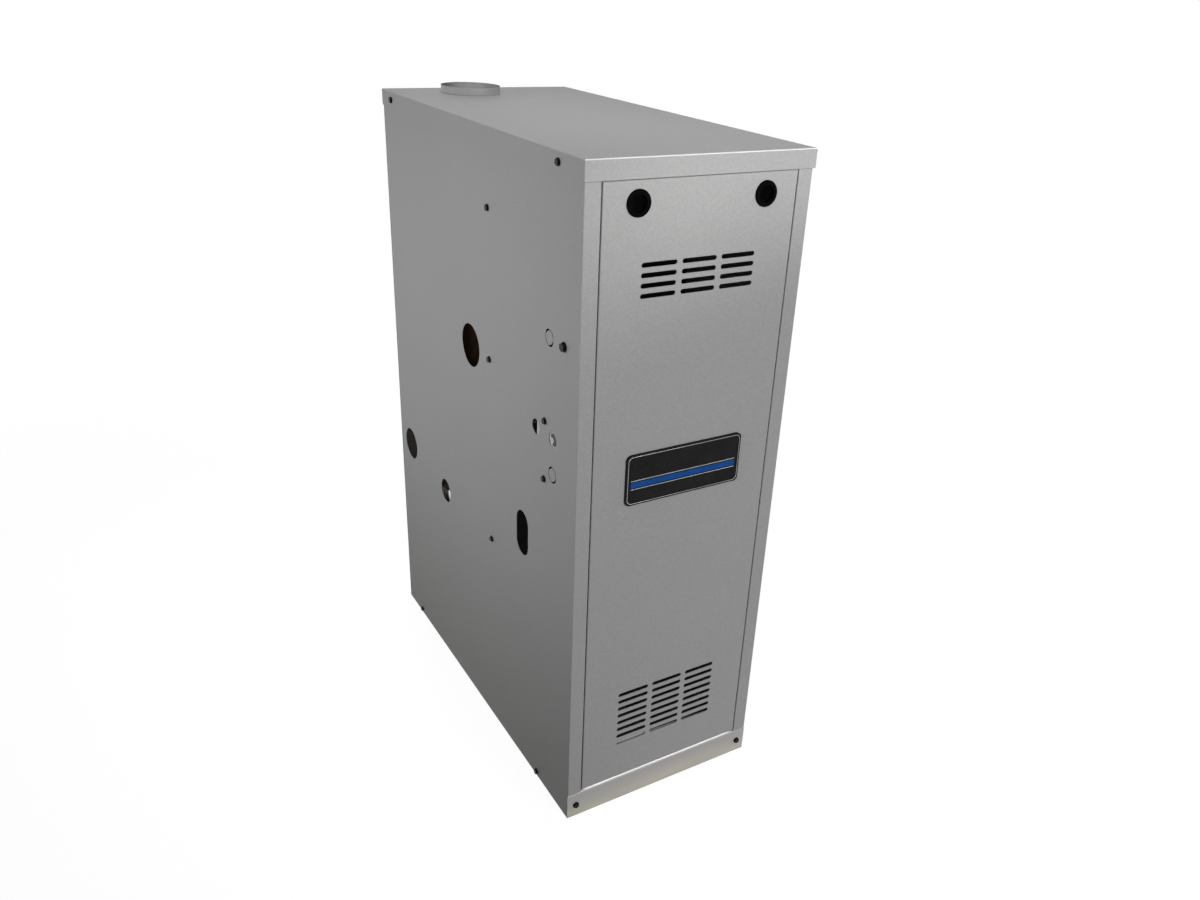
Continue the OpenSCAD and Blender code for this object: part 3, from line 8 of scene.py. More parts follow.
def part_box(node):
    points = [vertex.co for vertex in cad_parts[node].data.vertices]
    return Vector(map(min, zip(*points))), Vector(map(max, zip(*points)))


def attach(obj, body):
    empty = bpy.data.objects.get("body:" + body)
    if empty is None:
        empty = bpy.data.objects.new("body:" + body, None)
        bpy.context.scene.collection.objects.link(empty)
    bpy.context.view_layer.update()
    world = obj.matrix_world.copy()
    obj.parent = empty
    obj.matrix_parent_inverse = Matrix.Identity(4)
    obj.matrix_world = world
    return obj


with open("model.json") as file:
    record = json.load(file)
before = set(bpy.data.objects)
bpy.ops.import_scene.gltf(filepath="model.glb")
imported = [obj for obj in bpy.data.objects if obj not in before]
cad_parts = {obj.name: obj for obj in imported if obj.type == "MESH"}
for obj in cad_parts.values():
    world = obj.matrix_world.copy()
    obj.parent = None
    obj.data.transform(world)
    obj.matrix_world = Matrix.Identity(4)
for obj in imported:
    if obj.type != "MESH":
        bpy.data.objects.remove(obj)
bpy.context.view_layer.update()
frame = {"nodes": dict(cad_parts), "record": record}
NODES = frame["nodes"]
RECORD = frame["record"]
MM = 0.001
EDGE = 0.4 * MM              # radius that small edges are softened by
SHARP = math.radians(35)     # edges that turn by more than this stay sharp
FINE = 0.4 * MM              # depth that fine surface noise stands for
COLLAR_R = 49.5 * MM         # outside radius of the vent collar above the cap
CAP_FOLD = 6 * MM            # the fold of the cap lies within this below its top
LOW_SHADE = (0.42, 0.04)          # heights between which the painted shade on the sides and the back grows to full
POINTER_AT = 135             # where the limit control's pointer rests, clockwise from straight up
PROUD = 0.12 * MM            # how far printed marks stand out of their face
BITE = 0.1 * MM              # and how far they go into it
WHITE = (1, 1, 1)

# ---------------------------------------------------------------- camera

CAMERA_AT = Vector((-0.7412, -1.3817, 1.2080))
# The view's right and forward directions, solved with the rest from the edges in the photo
VIEW_RIGHT = Vector((0.85515, -0.51614, 0.04810)).normalized()
VIEW_FORWARD = Vector((0.48390, 0.76155, -0.43115)).normalized()
LENS_MM, SENSOR_MM = 29.904, 36.0
SHIFT_X, SHIFT_Y = -0.02614, 0.00178

view_up = -VIEW_FORWARD.cross(VIEW_RIGHT).normalized()
turn = Matrix((VIEW_RIGHT, view_up, -VIEW_FORWARD)).transposed().to_4x4()
cam = bpy.data.cameras.new("view")
cam.lens, cam.sensor_width, cam.sensor_fit = LENS_MM, SENSOR_MM, "HORIZONTAL"
cam.shift_x, cam.shift_y = SHIFT_X, SHIFT_Y
cam.clip_start, cam.clip_end = 0.01, 50
camera = bpy.data.objects.new("view", cam)
camera.matrix_world = Matrix.Translation(CAMERA_AT) @ turn
bpy.context.scene.collection.objects.link(camera)
bpy.context.scene.camera = camera

# ---------------------------------------------------------------- materials


class Nodes:
    """A small hand for writing node trees."""

    def __init__(self, name):
        self.mat = bpy.data.materials.new(name)
        self.mat.use_nodes = True
        self.tree = self.mat.node_tree
        self.bsdf = self.tree.nodes["Principled BSDF"]
        self.where = self.add("ShaderNodeTexCoord").outputs["Object"]

    def add(self, kind, inputs=None, **props):
        """Adds a node and sets its inputs, or links those that are given a socket."""
        node = self.tree.nodes.new(kind)
        for key, value in props.items():
            setattr(node, key, value)
        for key, value in (inputs or {}).items():
            if isinstance(value, bpy.types.NodeSocket):
                self.tree.links.new(value, node.inputs[key])
            else:
                node.inputs[key].default_value = value
        return node

    def noise(self, scale, detail=3.0, rough=0.5, stretch=None, distortion=0.0):
        """Noise on the object's own coordinates, so that it moves with the piece."""
        where = self.where
        if stretch:
            where = self.add("ShaderNodeMapping", {"Vector": where, "Scale": stretch}).outputs[0]
        return self.add("ShaderNodeTexNoise", {"Vector": where, "Scale": scale, "Detail": detail,
                                               "Roughness": rough, "Distortion": distortion}
                        ).outputs["Fac"]

    def cells(self, scale):
        """A random colour per cell."""
        spots = self.add("ShaderNodeTexVoronoi", {"Vector": self.where, "Scale": scale})
        return spots.outputs["Color"]

    def spread(self, fac, low, high, lo=0.3, hi=0.7):
        """Goes from low to high while fac goes from lo to hi."""
        return self.add("ShaderNodeMapRange", {"Value": fac, "From Min": lo, "From Max": hi,
                                               "To Min": low, "To Max": high}).outputs["Result"]

    def ramp(self, fac, *stops):
        """Colours at stops, each a place and a colour, mixed between them."""
        node = self.add("ShaderNodeValToRGB", {"Fac": fac})
        marks = node.color_ramp.elements
        while len(marks) < len(stops):
            marks.new(0.5)
        for mark, (at, colour) in zip(marks, stops):
            mark.position = at
            mark.color = (*colour, 1)
        return node.outputs["Color"]

    def mix(self, fac, a, b, blend="MIX"):
        """Two colours, each a tuple or a socket."""
        node = self.add("ShaderNodeMix", data_type="RGBA", blend_type=blend)
        for socket, value in ((node.inputs[0], fac), (node.inputs[6], a), (node.inputs[7], b)):
            if isinstance(value, bpy.types.NodeSocket):
                self.tree.links.new(value, socket)
            elif isinstance(value, tuple):
                socket.default_value = (*value, 1)
            else:
                socket.default_value = value
        return node.outputs[2]

    def shade(self, colour, fac, dark, lo=0.3, hi=0.7):
        """The colour, times a darker one where fac is low."""
        return self.mix(1.0, colour, self.ramp(fac, (lo, dark), (hi, WHITE)), "MULTIPLY")

    def mottle(self, colour, fac, dark, light, lo=0.3, hi=0.7):
        """The colour, times a number that goes from dark to light with fac."""
        return self.ramp(fac, (lo, tone(colour, dark)), (hi, tone(colour, light)))

    def along(self, axis, span, low=0, high=1):
        """Goes from low to high while the place on the object goes through the span, in metres."""
        split = self.add("ShaderNodeSeparateXYZ", {"Vector": self.where})
        return self.spread(split.outputs[axis], low, high, *span)

    def height(self, span):
        """0 at the span's first height, 1 at its second."""
        return self.along("Z", span)

    def facing(self):
        """The outward direction of a face, as sockets X, Y and Z."""
        normal = self.add("ShaderNodeTexCoord").outputs["Normal"]
        return self.add("ShaderNodeSeparateXYZ", {"Vector": normal}).outputs

    def faces_up(self):
        """0 on walls, 1 on level faces that look up."""
        return self.spread(self.facing()["Z"], 0, 1, 0.6, 0.95)

    def calc(self, a, b, operation="MULTIPLY"):
        """Two numbers multiplied, or joined as the operation says."""
        return self.add("ShaderNodeMath", {0: a, 1: b}, operation=operation).outputs[0]

    def fold_highlight(self, z):
        """The mask of a painted highlight: 1 on the fold between the front and a level face above
        height z, 0.1 on the left one.
        """
        normal = self.facing()
        front = self.spread(self.calc(normal["Y"], normal["Z"]), 0, 1, -0.12, -0.40)
        left = self.spread(self.calc(normal["X"], normal["Z"]), 0, 0.1, -0.12, -0.40)
        return self.calc(self.calc(front, left, "MAXIMUM"), self.height((z, z + 1 * MM)))

    def seam(self, z):
        """The mask of a painted shadow line: 0.55 on faces that look to the front, in a line of 1.2
        mm below height z.
        """
        line = self.calc(self.height((z - 1.4 * MM, z - 1.2 * MM)),
                         self.height((z + 0.2 * MM, z - 0.1 * MM)))
        return self.calc(line, self.spread(self.facing()["Y"], 0, 0.55, -0.5, -0.9))

    def side_painted_shade(self):
        """The mask of painted shade: grows to 1 towards the floor on sides and back, and stays 0 on
        faces to the front.
        """
        return self.calc(self.height(LOW_SHADE), self.spread(self.facing()["Y"], 0, 1, -0.9, -0.5))

    def from_axis(self, x, y, r):
        """0 inside a cylinder round a vertical axis, 1 outside it."""
        flat = self.add("ShaderNodeMapping", {"Vector": self.where, "Scale": (1, 1, 0)}).outputs[0]
        away = self.add("ShaderNodeVectorMath", {0: flat, 1: (x, y, 0)}, operation="DISTANCE")
        return self.spread(away.outputs["Value"], 0, 1, r - 0.1 * MM, r + 0.1 * MM)

    def set(self, **values):
        """Sets or links inputs of the Principled shader; an underscore stands for a space."""
        for key, value in values.items():
            socket = self.bsdf.inputs[key.replace("_", " ")]
            if isinstance(value, bpy.types.NodeSocket):
                self.tree.links.new(value, socket)
            else:
                socket.default_value = (*value, 1) if isinstance(value, tuple) else value

    def bump(self, height, strength, distance, edge=0.0):
        """Relief from a height, over edges softened by a radius where asked."""
        inputs = {"Height": height, "Strength": strength, "Distance": distance}
        if edge:
            inputs["Normal"] = self.add("ShaderNodeBevel", {"Radius": edge}, samples=4).outputs[0]
        self.set(Normal=self.add("ShaderNodeBump", inputs).outputs[0])


def tone(colour, k):
    return tuple(min(1.0, c * k) for c in colour)


def grey(v):
    return (v, v, v)


def jacket():
    """Silver enamel: a fine metallic speckle over a soft, slightly uneven orange-peel film."""
    n = Nodes("jacket_enamel")
    base = (0.402, 0.401, 0.402)
    speck = n.noise(1500, 2.0, 0.6)
    grain = n.noise(430, 2.0, 0.6)
    film = n.noise(240, 3.0, 0.6)
    cloud = n.noise(5, 2.0)
    fine = n.ramp(speck, (0.30, tone(base, 0.90)), (0.52, base), (0.74, tone(base, 1.13)))
    skin = n.shade(n.shade(fine, grain, grey(0.90), 0.34, 0.66), cloud, grey(0.975))
    # Painted shade darkens the sides and the back towards the floor
    low_tone = n.ramp(n.side_painted_shade(), (0.0, WHITE), (1.0, (0.79, 0.79, 0.775)))
    skin = n.mix(1.0, skin, low_tone, "MULTIPLY")
    # Painted shadow: a dark line in the seam under the cap's front flange. Painted highlight: a
    # light grey line on the fold above it.
    flange, crown = (corner.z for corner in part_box("top_cap"))
    skin = n.mix(n.seam(flange), skin, (0.10, 0.10, 0.105))
    # Painted highlight: light grey on the fold at the top of the front and, faintly, on the left
    # one
    skin = n.mix(n.fold_highlight(crown - CAP_FOLD), skin, grey(0.80))
    n.set(Base_Color=skin, Metallic=0.06, Roughness=n.spread(film, 0.42, 0.54),
          Specular_IOR_Level=0.05)
    n.bump(n.noise(420, 2.0), 0.16, 0.6 * MM)
    return n.mat


def rail_enamel():
    """The same enamel on the rail, rubbed smoother and warmer near the floor; its faces that look
    up, the ledge among them, are painted near white as a painted highlight.
    """
    n = Nodes("rail_enamel")
    base, warm = (0.475, 0.470, 0.460), (0.640, 0.600, 0.520)
    low = n.height((0.036, 0.008))
    patch = n.noise(9, 2.0, stretch=(1, 1, 3))
    speck = n.noise(1500, 2.0, 0.6)
    low_tone = n.mix(n.calc(low, n.spread(patch, 0.45, 1.0)), base, warm)
    skin = n.shade(low_tone, speck, grey(0.93))
    # Painted highlight: faces that look up, the ledge among them, are painted near white
    n.set(Base_Color=n.mix(n.faces_up(), skin, (0.90, 0.90, 0.89)), Metallic=0.10,
          Roughness=n.spread(patch, 0.30, 0.42), Specular_IOR_Level=0.08)
    n.bump(n.noise(300, 2.0), 0.10, 0.6 * MM)
    return n.mat


def collar_sheet():
    """Weathered galvanised pipe: outside about as light as the cap beside it, inside painted darker
    as painted shade.
    """
    n = Nodes("collar_sheet")
    lo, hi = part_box("vent_collar")
    outside = n.from_axis((lo.x + hi.x) / 2, (lo.y + hi.y) / 2, COLLAR_R - 0.3 * MM)
    stain = n.noise(22, 4.0, 0.6)
    # Painted shade: the inside of the pipe is painted darker than the outside
    shaded_inside = n.ramp(stain, (0.3, (0.13, 0.128, 0.13)), (0.7, (0.22, 0.218, 0.22)))
    outer = n.ramp(stain, (0.3, (0.385, 0.383, 0.385)), (0.7, (0.44, 0.438, 0.44)))
    n.set(Base_Color=n.mix(outside, shaded_inside, outer), Metallic=0.15,
          Roughness=n.spread(n.noise(60, 3.0), 0.52, 0.66), Specular_IOR_Level=0.10)
    n.bump(n.noise(500, 2.0), 0.08, FINE)
    return n.mat


def metal(name, colour, rough, spangle=0.0, cell=0, grain=0.0, edge=0.0, metallic=0.9):
    """Bare or plated metal, with galvanised spangle or a drawn grain where asked."""
    n = Nodes(name)
    stain = n.mottle(colour, n.noise(14, 4.0, 0.6), 0.80, 1.0, 0.32, 0.62)
    if spangle:
        facet = n.add("ShaderNodeSeparateColor", {"Color": n.cells(cell)}).outputs[0]
        stain = n.shade(stain, facet, grey(1 - spangle), 0.0, 1.0)
    fine = n.noise(700, 2.0, stretch=(1, 1, 0.03) if grain else None)
    n.set(Base_Color=stain, Metallic=metallic, Roughness=n.spread(n.noise(60, 4.0), *rough))
    n.bump(fine, 0.06 + grain, FINE, edge)
    return n.mat


def plastic(name, colour, rough, grain=500, depth=0.08, coat=0.0, shine=0.5):
    """Moulded plastic, rubber or print with a fine grain, clear-coated where asked."""
    n = Nodes(name)
    tint = n.mottle(colour, n.noise(40, 3.0), 0.86, 1.10)
    n.set(Base_Color=tint, Roughness=n.spread(n.noise(90, 3.0), *rough), Coat_Weight=coat,
          Coat_Roughness=0.08, Specular_IOR_Level=shine)
    n.bump(n.noise(grain, 2.0), depth, FINE, EDGE)
    return n.mat


def enamel(name, colour, rough=(0.3, 0.45), chip=None):
    """Painted steel or aluminium, worn through a little where asked."""
    n = Nodes(name)
    tint = n.mottle(colour, n.noise(26, 4.0, 0.6), 0.84, 1.08)
    if chip:
        worn = n.spread(n.noise(130, 6.0, 0.7), 0, 1, 0.66, 0.74)
        tint = n.mix(worn, tint, chip)
    n.set(Base_Color=tint, Metallic=0.15, Roughness=n.spread(n.noise(80, 3.0), *rough))
    n.bump(n.noise(380, 3.0), 0.10, 0.5 * MM, EDGE)
    return n.mat


def iron():
    """Sand-cast iron under a film of brown rust."""
    n = Nodes("cast_iron")
    bloom = n.noise(16, 8.0, 0.65, distortion=0.4)
    sand = n.noise(420, 5.0, 0.7)
    rust = n.ramp(bloom, (0.34, (0.060, 0.045, 0.038)), (0.52, (0.150, 0.078, 0.042)),
                  (0.68, (0.300, 0.145, 0.062)))
    n.set(Base_Color=n.shade(rust, sand, grey(0.72)), Metallic=0.25,
          Roughness=n.spread(bloom, 0.55, 0.85))
    n.bump(sand, 0.45, 1.2 * MM, 1.2 * MM)
    return n.mat


def hot_steel(name, cold, blue, straw):
    """Steel that has been heated: straw and blue tints in soft bands."""
    n = Nodes(name)
    heat = n.noise(11, 3.0, distortion=0.6)
    n.set(Base_Color=n.ramp(heat, (0.32, blue), (0.46, straw), (0.62, cold)), Metallic=0.8,
          Roughness=n.spread(n.noise(70, 4.0), 0.38, 0.60))
    n.bump(n.noise(500, 3.0), 0.12, 0.5 * MM, EDGE)
    return n.mat


def fibre():
    """Pale insulation board with a short lint."""
    n = Nodes("fibre_board")
    lint = n.noise(900, 4.0, 0.7, stretch=(1, 0.2, 1))
    n.set(Base_Color=n.ramp(lint, (0.3, (0.56, 0.50, 0.40)), (0.7, (0.80, 0.76, 0.67))),
          Roughness=0.95, Specular_IOR_Level=0.1)
    n.bump(lint, 0.6, 1.5 * MM)
    return n.mat


def coiled():
    """Varnished laminations: fine bands across the stack."""
    n = Nodes("laminations")
    bands = n.add("ShaderNodeTexWave", {"Vector": n.where, "Scale": 160.0, "Distortion": 0.6},
                  bands_direction="Y").outputs["Fac"]
    n.set(Base_Color=n.ramp(bands, (0.2, (0.075, 0.045, 0.028)), (0.8, (0.19, 0.125, 0.080))),
          Metallic=0.3, Roughness=0.42)
    n.bump(bands, 0.35, 0.6 * MM, 0.5 * MM)
    return n.mat


def ribbed():
    """Spiral-wound steel conduit."""
    n = Nodes("conduit")
    bands = n.add("ShaderNodeTexWave", {"Vector": n.where, "Scale": 90.0},
                  bands_direction="DIAGONAL", wave_profile="SIN").outputs["Fac"]
    n.set(Base_Color=n.ramp(bands, (0.1, grey(0.20)), (0.7, grey(0.50))), Metallic=0.85,
          Roughness=0.36)
    n.bump(bands, 0.8, 1.2 * MM)
    return n.mat


def glass():
    """Clear lens, faintly wiped."""
    n = Nodes("lens")
    n.set(Base_Color=(0.96, 0.98, 0.98), Transmission_Weight=1.0, IOR=1.46,
          Roughness=n.spread(n.noise(60, 3.0), 0.02, 0.06))
    return n.mat


def badge():
    """Glossy black moulding with a faint flow mottle."""
    n = Nodes("badge_black")
    flow = n.noise(30, 3.0)
    n.set(Base_Color=n.ramp(flow, (0.3, (0.0085, 0.0088, 0.0095)), (0.7, (0.014, 0.0145, 0.0155))),
          Roughness=n.spread(n.noise(220, 2.0), 0.20, 0.30), Specular_IOR_Level=0.06)
    n.bump(n.noise(350, 2.0), 0.02, 0.3 * MM, 0.6 * MM)
    return n.mat


def bright_bead():
    """Vacuum-plated plastic: smooth, with slow waves in its shine."""
    n = Nodes("badge_bright")
    wave = n.noise(18, 2.0)
    n.set(Base_Color=n.ramp(wave, (0.3, (0.26, 0.26, 0.255)), (0.7, (0.46, 0.46, 0.455))),
          Metallic=1.0, Roughness=n.spread(wave, 0.16, 0.28))
    n.bump(wave, 0.02, FINE)
    return n.mat


def screw_black():
    """Black coated screw, rubbed bright on its corners."""
    n = Nodes("black_screw")
    rub = n.spread(n.noise(700, 5.0, 0.7), 0, 1, 0.60, 0.70)
    n.set(Base_Color=n.mix(rub, (0.006, 0.006, 0.007), (0.16, 0.16, 0.165)), Metallic=0.0,
          Roughness=n.spread(n.noise(400, 3.0), 0.22, 0.36), Specular_IOR_Level=0.10)
    n.bump(n.noise(900, 3.0), 0.15, 0.3 * MM, 0.5 * MM)
    return n.mat


MATS = {
    "jacket": jacket(),
    "plated_sheet": metal("plated_sheet", (0.50, 0.51, 0.52), (0.36, 0.50), spangle=0.20, cell=90),
    "spring_steel": metal("spring_steel", (0.66, 0.67, 0.68), (0.25, 0.38), grain=0.05,
                          edge=0.3 * MM),
    "black_screw": screw_black(),
    "grommet": plastic("grommet", (0.004, 0.004, 0.005), (0.40, 0.50), depth=0.03, shine=0.0),
    "badge": badge(),
    "hot_steel": hot_steel("chamber_steel", (0.24, 0.225, 0.205), (0.10, 0.105, 0.13),
                           (0.26, 0.19, 0.12)),
    "fibre_board": fibre(),
    "burner_steel": hot_steel("burner_steel", (0.48, 0.46, 0.43), (0.16, 0.19, 0.30),
                              (0.44, 0.33, 0.19)),
    "black_plastic": plastic("black_plastic", (0.022, 0.022, 0.024), (0.42, 0.58), grain=900,
                             depth=0.18),
    "red_plastic": plastic("red_plastic", (0.48, 0.020, 0.015), (0.2, 0.3), coat=0.4),
    "ceramic": plastic("ceramic", (0.72, 0.69, 0.61), (0.18, 0.30), grain=200, depth=0.04,
                       coat=0.5),
    "lead_rubber": plastic("lead_rubber", (0.27, 0.058, 0.020), (0.5, 0.65), grain=1200, depth=0.2),
    "black_pipe": enamel("black_pipe", (0.022, 0.022, 0.024), (0.42, 0.6),
                         chip=(0.085, 0.055, 0.040)),
    "brass": metal("brass", (0.62, 0.42, 0.15), (0.20, 0.34), grain=0.04, edge=EDGE),
    "valve_aluminium": metal("valve_aluminium", (0.50, 0.505, 0.51), (0.40, 0.56), edge=0.8 * MM),
    "blue_plastic": plastic("blue_plastic", (0.018, 0.075, 0.33), (0.25, 0.38), coat=0.3),
    "iron": iron(),
    "bright_steel": metal("bright_steel", (0.72, 0.73, 0.74), (0.20, 0.34), grain=0.03, edge=EDGE),
    "galvanised": metal("galvanised", (0.60, 0.61, 0.625), (0.28, 0.42), spangle=0.30, cell=120),
    "housing_paint": enamel("housing_black", (0.030, 0.031, 0.033)),
    "tube_rubber": plastic("tube_rubber", (0.50, 0.47, 0.42), (0.5, 0.62), grain=800, depth=0.1),
    "transformer_core": coiled(),
    "housing_paint_grey": enamel("housing_grey", (0.15, 0.16, 0.17)),
    "white_plastic": plastic("white_plastic", (0.74, 0.73, 0.69), (0.25, 0.36), coat=0.3),
    "red_paint": enamel("red_paint", (0.55, 0.022, 0.015)),
    "lens_glass": glass(),
    "conduit_steel": ribbed(),
}
EXTRA = {
    "rail": rail_enamel(),
    "collar": collar_sheet(),
    "chrome_trim": bright_bead(),
    "print_white": plastic("print_white", (0.74, 0.74, 0.74), (0.3, 0.4), depth=0.02, shine=0.2),
    "box_plate": metal("box_plate", (0.50, 0.505, 0.51), (0.32, 0.50), spangle=0.42, cell=200,
                       metallic=0.7),
    # Painted shade for the dished slug behind the open knockout
    "box_painted_shade": plastic("box_painted_shade", (0.095, 0.093, 0.088), (0.5, 0.6), grain=300, shine=0.1),
    "badge_blue": plastic("badge_blue", (0.004, 0.072, 0.30), (0.22, 0.32), depth=0.03, shine=0.10),
    "dial_white": plastic("dial_white", (0.80, 0.79, 0.76), (0.4, 0.5), depth=0.03),
    "ink_black": plastic("ink_black", (0.008, 0.008, 0.009), (0.4, 0.5), depth=0.03, shine=0.0),
    "stove_black": enamel("stove_black", (0.040, 0.040, 0.044), (0.5, 0.65)),
    "card_grey": enamel("card_grey", (0.40, 0.40, 0.395)),
    "seal": plastic("seal", (0.30, 0.30, 0.30), (0.5, 0.6), grain=300, shine=0.1),
    "led_green": plastic("led_green", (0.05, 0.40, 0.10), (0.1, 0.2), coat=0.5),
}

SLOT_OF = {part["node"]: part["material_slot"] for part in RECORD["subparts"]}
OWN_FINISH = {"front_rail": EXTRA["rail"], "vent_collar": EXTRA["collar"],
              "vestibule_panel": EXTRA["stove_black"], "junction_box": EXTRA["box_plate"],
              "junction_box_cover": EXTRA["box_plate"]}
for name, obj in NODES.items():
    obj.data.materials.clear()
    obj.data.materials.append(OWN_FINISH.get(name, MATS[SLOT_OF[name]]))

# ---------------------------------------------------------------- pieces of the scene's own


def piece(name, bm, material, body, smooth=True):
    """Makes one visible piece of a mesh and fixes it to a body."""
    mesh = bpy.data.meshes.new(name)
    bmesh.ops.recalc_face_normals(bm, faces=bm.faces)
    bm.to_mesh(mesh)
    bm.free()
    obj = bpy.data.objects.new(name, mesh)
    bpy.context.scene.collection.objects.link(obj)
    obj.data.materials.append(material)
    if smooth:
        mesh.shade_smooth()
        mesh.set_sharp_from_angle(angle=SHARP)
    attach(obj, body)


def rounded(w, h, r):
    """Outline of a rounded rectangle about the middle, as (x, z)."""
    steps = 8
    out = []
    for cx, cz, start in ((w / 2 - r, h / 2 - r, 0), (r - w / 2, h / 2 - r, 90),
                          (r - w / 2, r - h / 2, 180), (w / 2 - r, r - h / 2, 270)):
        for i in range(steps + 1):
            a = math.radians(start + 90 * i / steps)
            out.append((cx + r * math.cos(a), cz + r * math.sin(a)))
    return out


def swept_ring(bm, outlines):
    """Joins closed outlines, each a list of points, in their order, and the last to the first."""
    rings = [[bm.verts.new(p) for p in line] for line in outlines]
    count = len(rings[0])
    for a, b in zip(rings, rings[1:] + rings[:1]):
        for i in range(count):
            bm.faces.new((a[i], a[(i + 1) % count], b[(i + 1) % count], b[i]))


def plate(bm, outline, y0, y1):
    """A flat plate between two depths, from an (x, z) outline."""
    front = [bm.verts.new((x, y0, z)) for x, z in outline]
    back = [bm.verts.new((x, y1, z)) for x, z in outline]
    bm.faces.new(front)
    bm.faces.new(back[::-1])
    for i in range(len(outline)):
        j = (i + 1) % len(outline)
        bm.faces.new((front[i], front[j], back[j], back[i]))


def front_of(node):
    """The front of a node's box: its depth y, its middle (x, z), its width and its height."""
    lo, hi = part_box(node)
    return lo.y, ((lo.x + hi.x) / 2, (lo.z + hi.z) / 2), hi.x - lo.x, hi.z - lo.z


def badge_details():
    """A bright bead round the badge's field, a blue band across it, a line above and one below."""
    front, (mx, mz), w, h = front_of("badge_plate")
    rim, corner, bead, relief = 4 * MM, 9 * MM, 0.9 * MM, 0.33 * MM
    bm = bmesh.new()
    lines = []
    for k in range(8):
        a = math.tau * k / 8
        inset = rim - bead - bead / 2 * math.cos(a)
        y = front + 0.15 * MM - relief * math.sin(a)
        lines.append([(mx + x, y, mz + z) for x, z in
                      rounded(w - 2 * inset, h - 2 * inset, corner - inset * 0.6)])
    swept_ring(bm, lines)
    piece("badge_bead", bm, EXTRA["chrome_trim"], "door_panel")
    recess, depth, margin = 1 * MM, 0.3 * MM, 8.5 * MM
    field, reach = front + recess, w / 2 - margin
    # Bottom and top in millimetres from the badge's middle
    for name, finish, spans in (("badge_band", "badge_blue", ((-12.0, -3.4),)),
                                ("badge_lines", "print_white", ((-1.6, -0.8), (-14.6, -13.8)))):
        bm = bmesh.new()
        for bottom, top in spans:
            z0, z1 = mz + bottom * MM, mz + top * MM
            plate(bm, [(mx - reach, z0), (mx + reach, z0), (mx + reach, z1), (mx - reach, z1)],
                  field - PROUD, field + depth)
        piece(name, bm, EXTRA[finish], "door_panel")


def ring_arcs(bm, middle, radius, width, spans, x0, x1, steps=14):
    """Flat arcs across X, round a (y, z) middle; spans are pairs of angles in degrees."""
    taper = 0.12            # how much of a half wave is cut off at each end, which leaves it blunt
    for start, end in spans:
        rows = []
        for i in range(steps + 1):
            a = math.radians(start + (end - start) * i / steps)
            half = width / 2 * math.sin(math.pi * (taper + (1 - 2 * taper) * i / steps))
            rows.append([bm.verts.new((x, middle[0] + r * math.cos(a), middle[1] + r * math.sin(a)))
                         for x, r in ((x0, radius - half), (x0, radius + half),
                                      (x1, radius + half), (x1, radius - half))])
        for a, b in zip(rows, rows[1:]):
            for i in range(4):
                j = (i + 1) % 4
                bm.faces.new((a[i], a[j], b[j], b[i]))
        bm.faces.new(rows[0])
        bm.faces.new(rows[-1][::-1])


# Knockouts of the left side: millimetres behind the front, millimetres up
CLOSED_KNOCKOUTS = ((83.5, 774), (69.5, 578))
OPEN_KNOCKOUT = (70, 631)


def knockouts():
    """Dark slits round the closed knockouts, and a dark crescent of painted shade on the box behind
    an open one.
    """
    side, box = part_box("left_side_panel")[0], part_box("junction_box")[0]
    depth = 0.3 * MM

    def middle(knockout):
        return side.y + knockout[0] * MM, knockout[1] * MM

    # Each width of slit in millimetres, and the angles that it is cut over
    slit_r, slits = 10.9 * MM, ((2.8, ((18, 92), (188, 282))), (1.2, ((96, 184), (286, 374))))
    bm = bmesh.new()
    for knockout in CLOSED_KNOCKOUTS:
        for width, spans in slits:
            ring_arcs(bm, middle(knockout), slit_r, width * MM, spans, side.x - 0.05 * MM,
                      side.x + depth)
    piece("knockout_slits", bm, EXTRA["ink_black"], "boiler", smooth=False)
    # Painted shade: a flat dark crescent on the box stands in for the shade in the dish of the slug
    # behind the open knockout
    shade_r, shade_width, shade_span = 6.2 * MM, 9.2 * MM, (25, 285)
    bm = bmesh.new()
    ring_arcs(bm, middle(OPEN_KNOCKOUT), shade_r, shade_width, (shade_span,), box.x - 0.15 * MM,
              box.x + depth, steps=28)
    piece("knockout_painted_shade", bm, EXTRA["box_painted_shade"], "boiler", smooth=False)


def slot_card():
    """A strip of bare sheet close behind the lowest louvres, higher at its left end."""
    behind, thick = 2.4 * MM, 0.6 * MM
    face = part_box("front_panel")[0].y + behind
    # Millimetres to the right of the object's middle, millimetres up
    outline = ((-92, 108), (90, 108), (90, 113.5), (-26, 116), (-32, 122), (-92, 123.4))
    bm = bmesh.new()
    plate(bm, [(x * MM, z * MM) for x, z in outline], face, face + thick)
    piece("slot_card", bm, EXTRA["card_grey"], "door_panel", smooth=False)


def ring_plate(bm, middle, r0, r1, y0, y1, start=0, end=360):
    """A flat ring or arc across Y round an (x, z) middle; angles clockwise from straight up."""
    count = max(2, round((end - start) / 5))
    rows = []
    for i in range(count + 1):
        a = math.radians(start + (end - start) * i / count)
        rows.append([bm.verts.new((middle[0] + r * math.sin(a), y, middle[1] + r * math.cos(a)))
                     for r, y in ((r0, y0), (r1, y0), (r1, y1), (r0, y1))])
    for a, b in zip(rows, rows[1:]):
        for i in range(4):
            bm.faces.new((a[i], a[(i + 1) % 4], b[(i + 1) % 4], b[i]))
    if end - start < 360:
        bm.faces.new(rows[0])
        bm.faces.new(rows[-1][::-1])
    bmesh.ops.remove_doubles(bm, verts=bm.verts, dist=1e-7)


